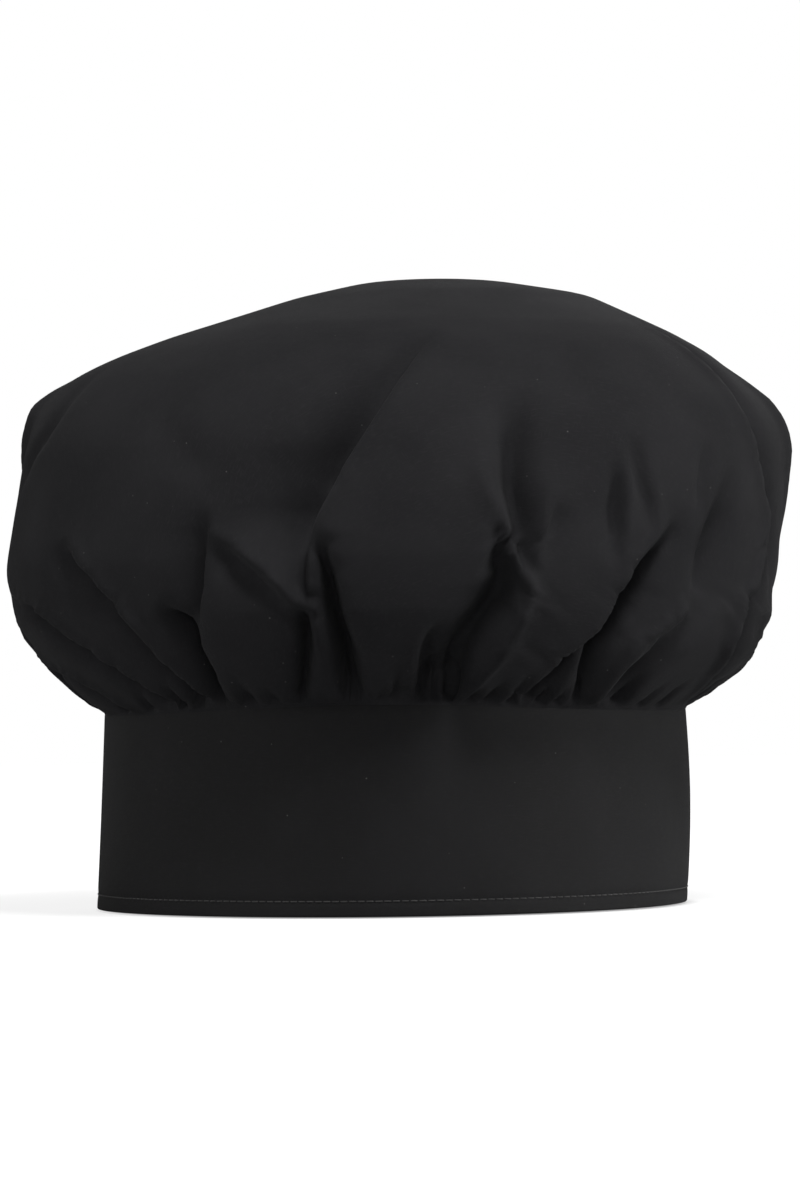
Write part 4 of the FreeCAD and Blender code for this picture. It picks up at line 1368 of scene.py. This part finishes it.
def lint_group():
    """Stray specks of fluff. Place is in metres."""
    group, start, end = new_group("lint", [("Place", VECTOR, None), ("Spacing", FLOAT, 260.0)], ["Speck"])
    cells = group.nodes.new("ShaderNodeTexVoronoi")
    feed(group, start.outputs["Place"], cells.inputs["Vector"])
    feed(group, start.outputs["Spacing"], cells.inputs["Scale"])
    near = spread(group, cells.outputs["Distance"], 0.07, 0.03)
    chance = group.nodes.new("ShaderNodeSeparateColor")
    feed(group, cells.outputs["Color"], chance.inputs[0])
    kept = calc(group, "GREATER_THAN", chance.outputs["Red"], 0.80)
    feed(group, calc(group, "MULTIPLY", near, kept), end.inputs["Speck"])
    return group


WEAVE, RUMPLE, LINT = weave_group(), rumple_group(), lint_group()

# %% [markdown]
# ## Finishes
# The cloth is a matt black poplin with hardly any sheen, in which some threads are a little greyer than the
# rest. The pressed band is smoother than the crown, and its black is painted darker, a painted shade that
# stands in for the shadow of the crown's overhang on it. Thread, tapes, ribbon and stiffening are variations
# on the same recipe, so one function makes them all.


# %% Finishes
def use_group(tree, group, **values):
    node = tree.nodes.new("ShaderNodeGroup")
    node.node_tree = group
    for label, value in values.items():
        feed(tree, value, node.inputs[label.replace("_", " ")])
    return node


def mix_colour(tree, amount, first, second):
    node = tree.nodes.new("ShaderNodeMix")
    node.data_type = "RGBA"
    feed(tree, amount, node.inputs[0])
    for value, socket in ((first, node.inputs[6]), (second, node.inputs[7])):
        feed(tree, value if isinstance(value, bpy.types.NodeSocket) else (*value, 1.0), socket)
    return node.outputs[2]


def bump(tree, height, distance, strength, normal=None):
    node = tree.nodes.new("ShaderNodeBump")
    feed(tree, height, node.inputs["Height"])
    node.inputs["Distance"].default_value = distance
    node.inputs["Strength"].default_value = strength
    if normal is not None:
        feed(tree, normal, node.inputs["Normal"])
    return node.outputs["Normal"]


def fabric(name, dark, light, roughness, sheen, weave_depth, warp, weft, specular=0.25, lint=0.0,
           slub_share=0.5, rumple=0.25, on_cut=True):
    """A woven or spun finish. dark and light are the ends of its own colour."""
    material = bpy.data.materials.new(name)
    material.use_nodes = True
    tree = material.node_tree
    shader = tree.nodes["Principled BSDF"]
    where = tree.nodes.new("ShaderNodeTexCoord").outputs["Object"]
    if on_cut:
        cut = tree.nodes.new("ShaderNodeUVMap")
        cut.uv_map = "cut"
        cloth_place = stretched(tree, cut.outputs["UV"], (CUT_SPAN, CUT_SPAN, 1))
    else:
        cloth_place = stretched(tree, where, (1000, 1000, 1000))
    weave = use_group(tree, WEAVE, Place=cloth_place, Warp_pitch=warp, Weft_pitch=weft)
    soft = use_group(tree, RUMPLE, Place=where)
    colour = mix_colour(tree, calc(tree, "MULTIPLY", weave.outputs["Slub"], slub_share), dark, light)
    faded = mix_colour(tree, calc(tree, "MULTIPLY", soft.outputs["Fade"], 0.35), colour, light)
    if lint:
        speck = use_group(tree, LINT, Place=where).outputs["Speck"]
        faded = mix_colour(tree, calc(tree, "MULTIPLY", speck, lint), faded, (0.30, 0.29, 0.28))
    feed(tree, faded, shader.inputs["Base Color"])
    rough = calc(tree, "MULTIPLY_ADD", weave.outputs["Slub"], -0.08)
    rough.node.inputs[2].default_value = roughness
    feed(tree, rough, shader.inputs["Roughness"])
    shader.inputs["Specular IOR Level"].default_value = specular
    shader.inputs["Sheen Weight"].default_value = sheen
    shader.inputs["Sheen Roughness"].default_value = 0.45
    rumpled = bump(tree, soft.outputs["Height"], 0.001, rumple)
    feed(tree, bump(tree, weave.outputs["Weave"], weave_depth * MM, 0.8, rumpled), shader.inputs["Normal"])
    return material


# the band's darker black is painted shade: it stands in for the shadow that the crown's overhang casts on the
# band
PRESSED_AND_SHADED_BLACK = (0.0082, 0.0080, 0.0084)
BLACK = (0.0152, 0.0150, 0.0165)
SOFT_BLACK = (0.030, 0.0295, 0.0315)
POPLIN = fabric("crown poplin", BLACK, SOFT_BLACK, 0.85, 0.02, 0.05, 0.28, 0.42, specular=0.12, lint=0.3,
                slub_share=0.38)
BAND_POPLIN = fabric("pressed band poplin with painted shade", PRESSED_AND_SHADED_BLACK, BLACK, 0.60, 0.02, 0.05, 0.28, 0.42, specular=0.16,
                     lint=0.3, slub_share=0.4, rumple=0.12)
THREAD_FINISH = fabric("spun thread", (0.035, 0.034, 0.034), (0.07, 0.068, 0.068), 0.6, 0.2, 0.03, 0.3, 0.3,
                       on_cut=False)
STIFFENING = fabric("bonded stiffening", (0.62, 0.61, 0.57), (0.78, 0.77, 0.73), 0.85, 0.1, 0.05, 0.5, 0.5)
LOOP_FINISH = fabric("pile loops", (0.010, 0.010, 0.011), (0.030, 0.030, 0.031), 0.7, 0.35, 0.05, 0.5, 0.5,
                     on_cut=False)
TAPE_FINISH = fabric("woven nylon tape", (0.012, 0.012, 0.013), (0.026, 0.026, 0.027), 0.5, 0.1, 0.12,
                     0.9, 0.6, specular=0.5)
HOOK_FINISH = fabric("nylon hooks", (0.013, 0.013, 0.014), (0.022, 0.022, 0.023), 0.38, 0.0, 0.01, 0.9, 0.6,
                     specular=0.5, on_cut=False)
RIBBON = fabric("satin ribbon", (0.66, 0.65, 0.62), (0.78, 0.77, 0.74), 0.4, 0.2, 0.03, 0.12, 0.3,
                specular=0.5)


def finish_with(material, slot, *pieces):
    for piece in pieces:
        piece.data.materials.clear()
        piece.data.materials.append(material)


finish_with(POPLIN, "crown_cloth", crown, slit_binding)
finish_with(BAND_POPLIN, "band_cloth", band_shell, band_lining, flap_shell, flap_lining)
finish_with(THREAD_FINISH, "thread", topstitches, bobbin_stitches, seam_stitches, gathering_stitches,
            flap_stitches, flap_bobbin, hook_stitches, loop_stitches, slit_stitches, bar_tack, label_stitches)
finish_with(STIFFENING, "interlining", band_stiffening, flap_stiffening)
finish_with(LOOP_FINISH, "loop_tape", loop_tape, loop_pile)
finish_with(TAPE_FINISH, "hook_tape", hook_tape)
finish_with(HOOK_FINISH, "hook_tape", hook_field)
finish_with(RIBBON, "label_ribbon", label)
print("finishes:", [m.name for m in bpy.data.materials if m.users])

# %% [markdown]
# ## Bodies, and what each piece stands for
# Everything sewn to the band rides on the hat. The tapes and rows on the flap ride on the flap. Its three
# plies and edge stitches ride on no body and are baked where they lie, because the real flap is the band's
# own end. The two ends of a bend across the hinge are worked out for them.

# %% Bodies
HAT, FLAP = "hat", "closure_flap"
ON_HAT = {
    crown: ("crown", "crown_seam_allowance"),
    slit_binding: ("slit_binding",),
    slit_stitches: ("slit_binding_stitch",),
    bar_tack: ("slit_bar_tack",),
    seam_stitches: ("crown_seam_thread",),
    gathering_stitches: ("gathering_threads",),
    band_shell: ("band_outer",),
    band_stiffening: ("band_interlining",),
    band_lining: ("band_lining",),
    topstitches: ("topstitch_needle_thread",),
    bobbin_stitches: ("topstitch_bobbin_thread",),
    loop_tape: ("loop_strip",),
    loop_pile: (),
    loop_stitches: ("loop_strip_stitch",),
    label: ("care_label",),
    label_stitches: ("care_label_stitch",),
}
ON_FLAP = {
    hook_tape: ("hook_strip",),
    hook_field: (),
    hook_stitches: ("hook_strip_stitch",),
}
BENDING = {
    flap_shell: ("flap_outer",),
    flap_stiffening: ("flap_interlining",),
    flap_lining: ("flap_lining",),
    flap_stitches: ("flap_needle_thread",),
    flap_bobbin: ("flap_bobbin_thread",),
}
for body, pieces in ((HAT, ON_HAT), (FLAP, ON_FLAP), (None, BENDING)):
    for piece, nodes in pieces.items():
        if nodes:
            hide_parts(*nodes)
        if body:
            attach(piece, body)

bend_start = band_point(HINGE_ANGLE, BAND_TOP / 2, SHELL_LEVEL)[0] * MM
bend_end = band_point(HINGE_ANGLE - 7.5, BAND_TOP / 2, SHELL_LEVEL, True)[0] * MM
for piece in BENDING:
    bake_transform(piece)

# %% [markdown]
# ## Floor, light and camera
# A plain white floor runs off into a white background, and its glow is dimmed round the hat's foot as a
# painted soft shadow. The key light hangs high in front of the hat, a little to the right, and four weaker
# ones stand in front, at both sides and behind. The camera looks at the front from low down, with a long
# lens.

# %% Floor
FLOOR_SIZE = 12.0
deselect_all()
bpy.ops.mesh.primitive_plane_add(size=FLOOR_SIZE, location=(0, 0, -0.0005))
floor = bpy.context.object
floor.name = "floor"
floor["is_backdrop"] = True


def floor_material():
    """Looks white to the camera. It glows more the further it is from the hat, and not at all under it; the
    dimmer glow near the hat is a painted soft shadow.
    """
    material = bpy.data.materials.new("white floor")
    material.use_nodes = True
    tree = material.node_tree
    shader = tree.nodes["Principled BSDF"]
    shader.inputs["Base Color"].default_value = (0.4, 0.4, 0.4, 1)
    shader.inputs["Roughness"].default_value = 0.9
    shader.inputs["Specular IOR Level"].default_value = 0.1
    where = tree.nodes.new("ShaderNodeTexCoord").outputs["Object"]
    length = tree.nodes.new("ShaderNodeVectorMath")
    length.operation = "LENGTH"
    feed(tree, stretched(tree, where, (1.0, BAND_HIGH.x / BAND_HIGH.y, 1.0)), length.inputs[0])
    # painted shadow: the floor's glow is dimmed near the hat and cut off at its foot, in place of the shade
    # that the hat casts
    far = spread(tree, length.outputs["Value"], 0.12, 0.5)
    clear = spread(tree, length.outputs["Value"], BAND_HIGH.x - 0.012, BAND_HIGH.x + 0.002)
    glow = mix_colour(tree, far, (0.80, 0.80, 0.80), (1.0, 1.0, 1.0))
    glow = mix_colour(tree, clear, (0.0, 0.0, 0.0), glow)
    seen = tree.nodes.new("ShaderNodeLightPath").outputs["Is Camera Ray"]
    feed(tree, mix_colour(tree, seen, (0.0, 0.0, 0.0), glow), shader.inputs["Emission Color"])
    shader.inputs["Emission Strength"].default_value = 1.0
    return material


floor.data.materials.append(floor_material())

# %% Light
MIDDLE = (0, 0, 0.10)


def soft_light(name, place, size, power):
    deselect_all()
    bpy.ops.object.light_add(type="AREA", location=place)
    light = bpy.context.object
    light.name = name
    light.data.shape = "RECTANGLE"
    light.data.size, light.data.size_y = size
    light.data.energy = power
    away = np.array(place) - np.array(MIDDLE)
    tilt = math.atan2(math.hypot(away[0], away[1]), away[2])
    light.rotation_euler = (tilt, 0, math.atan2(away[0], -away[1]))


soft_light("key", (0.35, -0.85, 1.45), (0.5, 0.4), 18.0)
soft_light("front", (-0.2, -1.9, 0.35), (1.0, 0.6), 5.0)
soft_light("right side", (1.4, -0.2, 0.2), (0.5, 0.5), 8.5)
soft_light("back", (0.3, 1.8, 0.9), (0.9, 0.5), 4.0)
soft_light("left side", (-1.4, -0.3, 0.5), (0.5, 0.8), 4.0)

world = bpy.data.worlds.new("white room")
bpy.context.scene.world = world
world.use_nodes = True
sky = world.node_tree
background = sky.nodes["Background"]
seen = sky.nodes.new("ShaderNodeLightPath").outputs["Is Camera Ray"]
strength = calc(sky, "MULTIPLY_ADD", seen, 0.88)
strength.node.inputs[2].default_value = 0.12
feed(sky, strength, background.inputs["Strength"])
background.inputs["Color"].default_value = (1, 1, 1, 1)
bpy.context.scene.view_settings.view_transform = "Standard"

# %% Camera
deselect_all()
bpy.ops.object.camera_add(location=(0.0014, -1.5, 0.054))
camera = bpy.context.object
camera.data.lens = 148
camera.data.sensor_width = 36
camera.rotation_euler = (math.radians(91.46), math.radians(0.77), 0)
bpy.context.scene.camera = camera

# %% [markdown]
# ## Sizes, and the end
# The finished model's box is written next to the CAD model's, so that the two can be compared.

# %% Sizes
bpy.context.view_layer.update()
for label_text, (low, high) in (("CAD", CAD_BOX), ("model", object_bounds())):
    print(label_text, [round(v / MM, 1) for v in low], [round(v / MM, 1) for v in high])
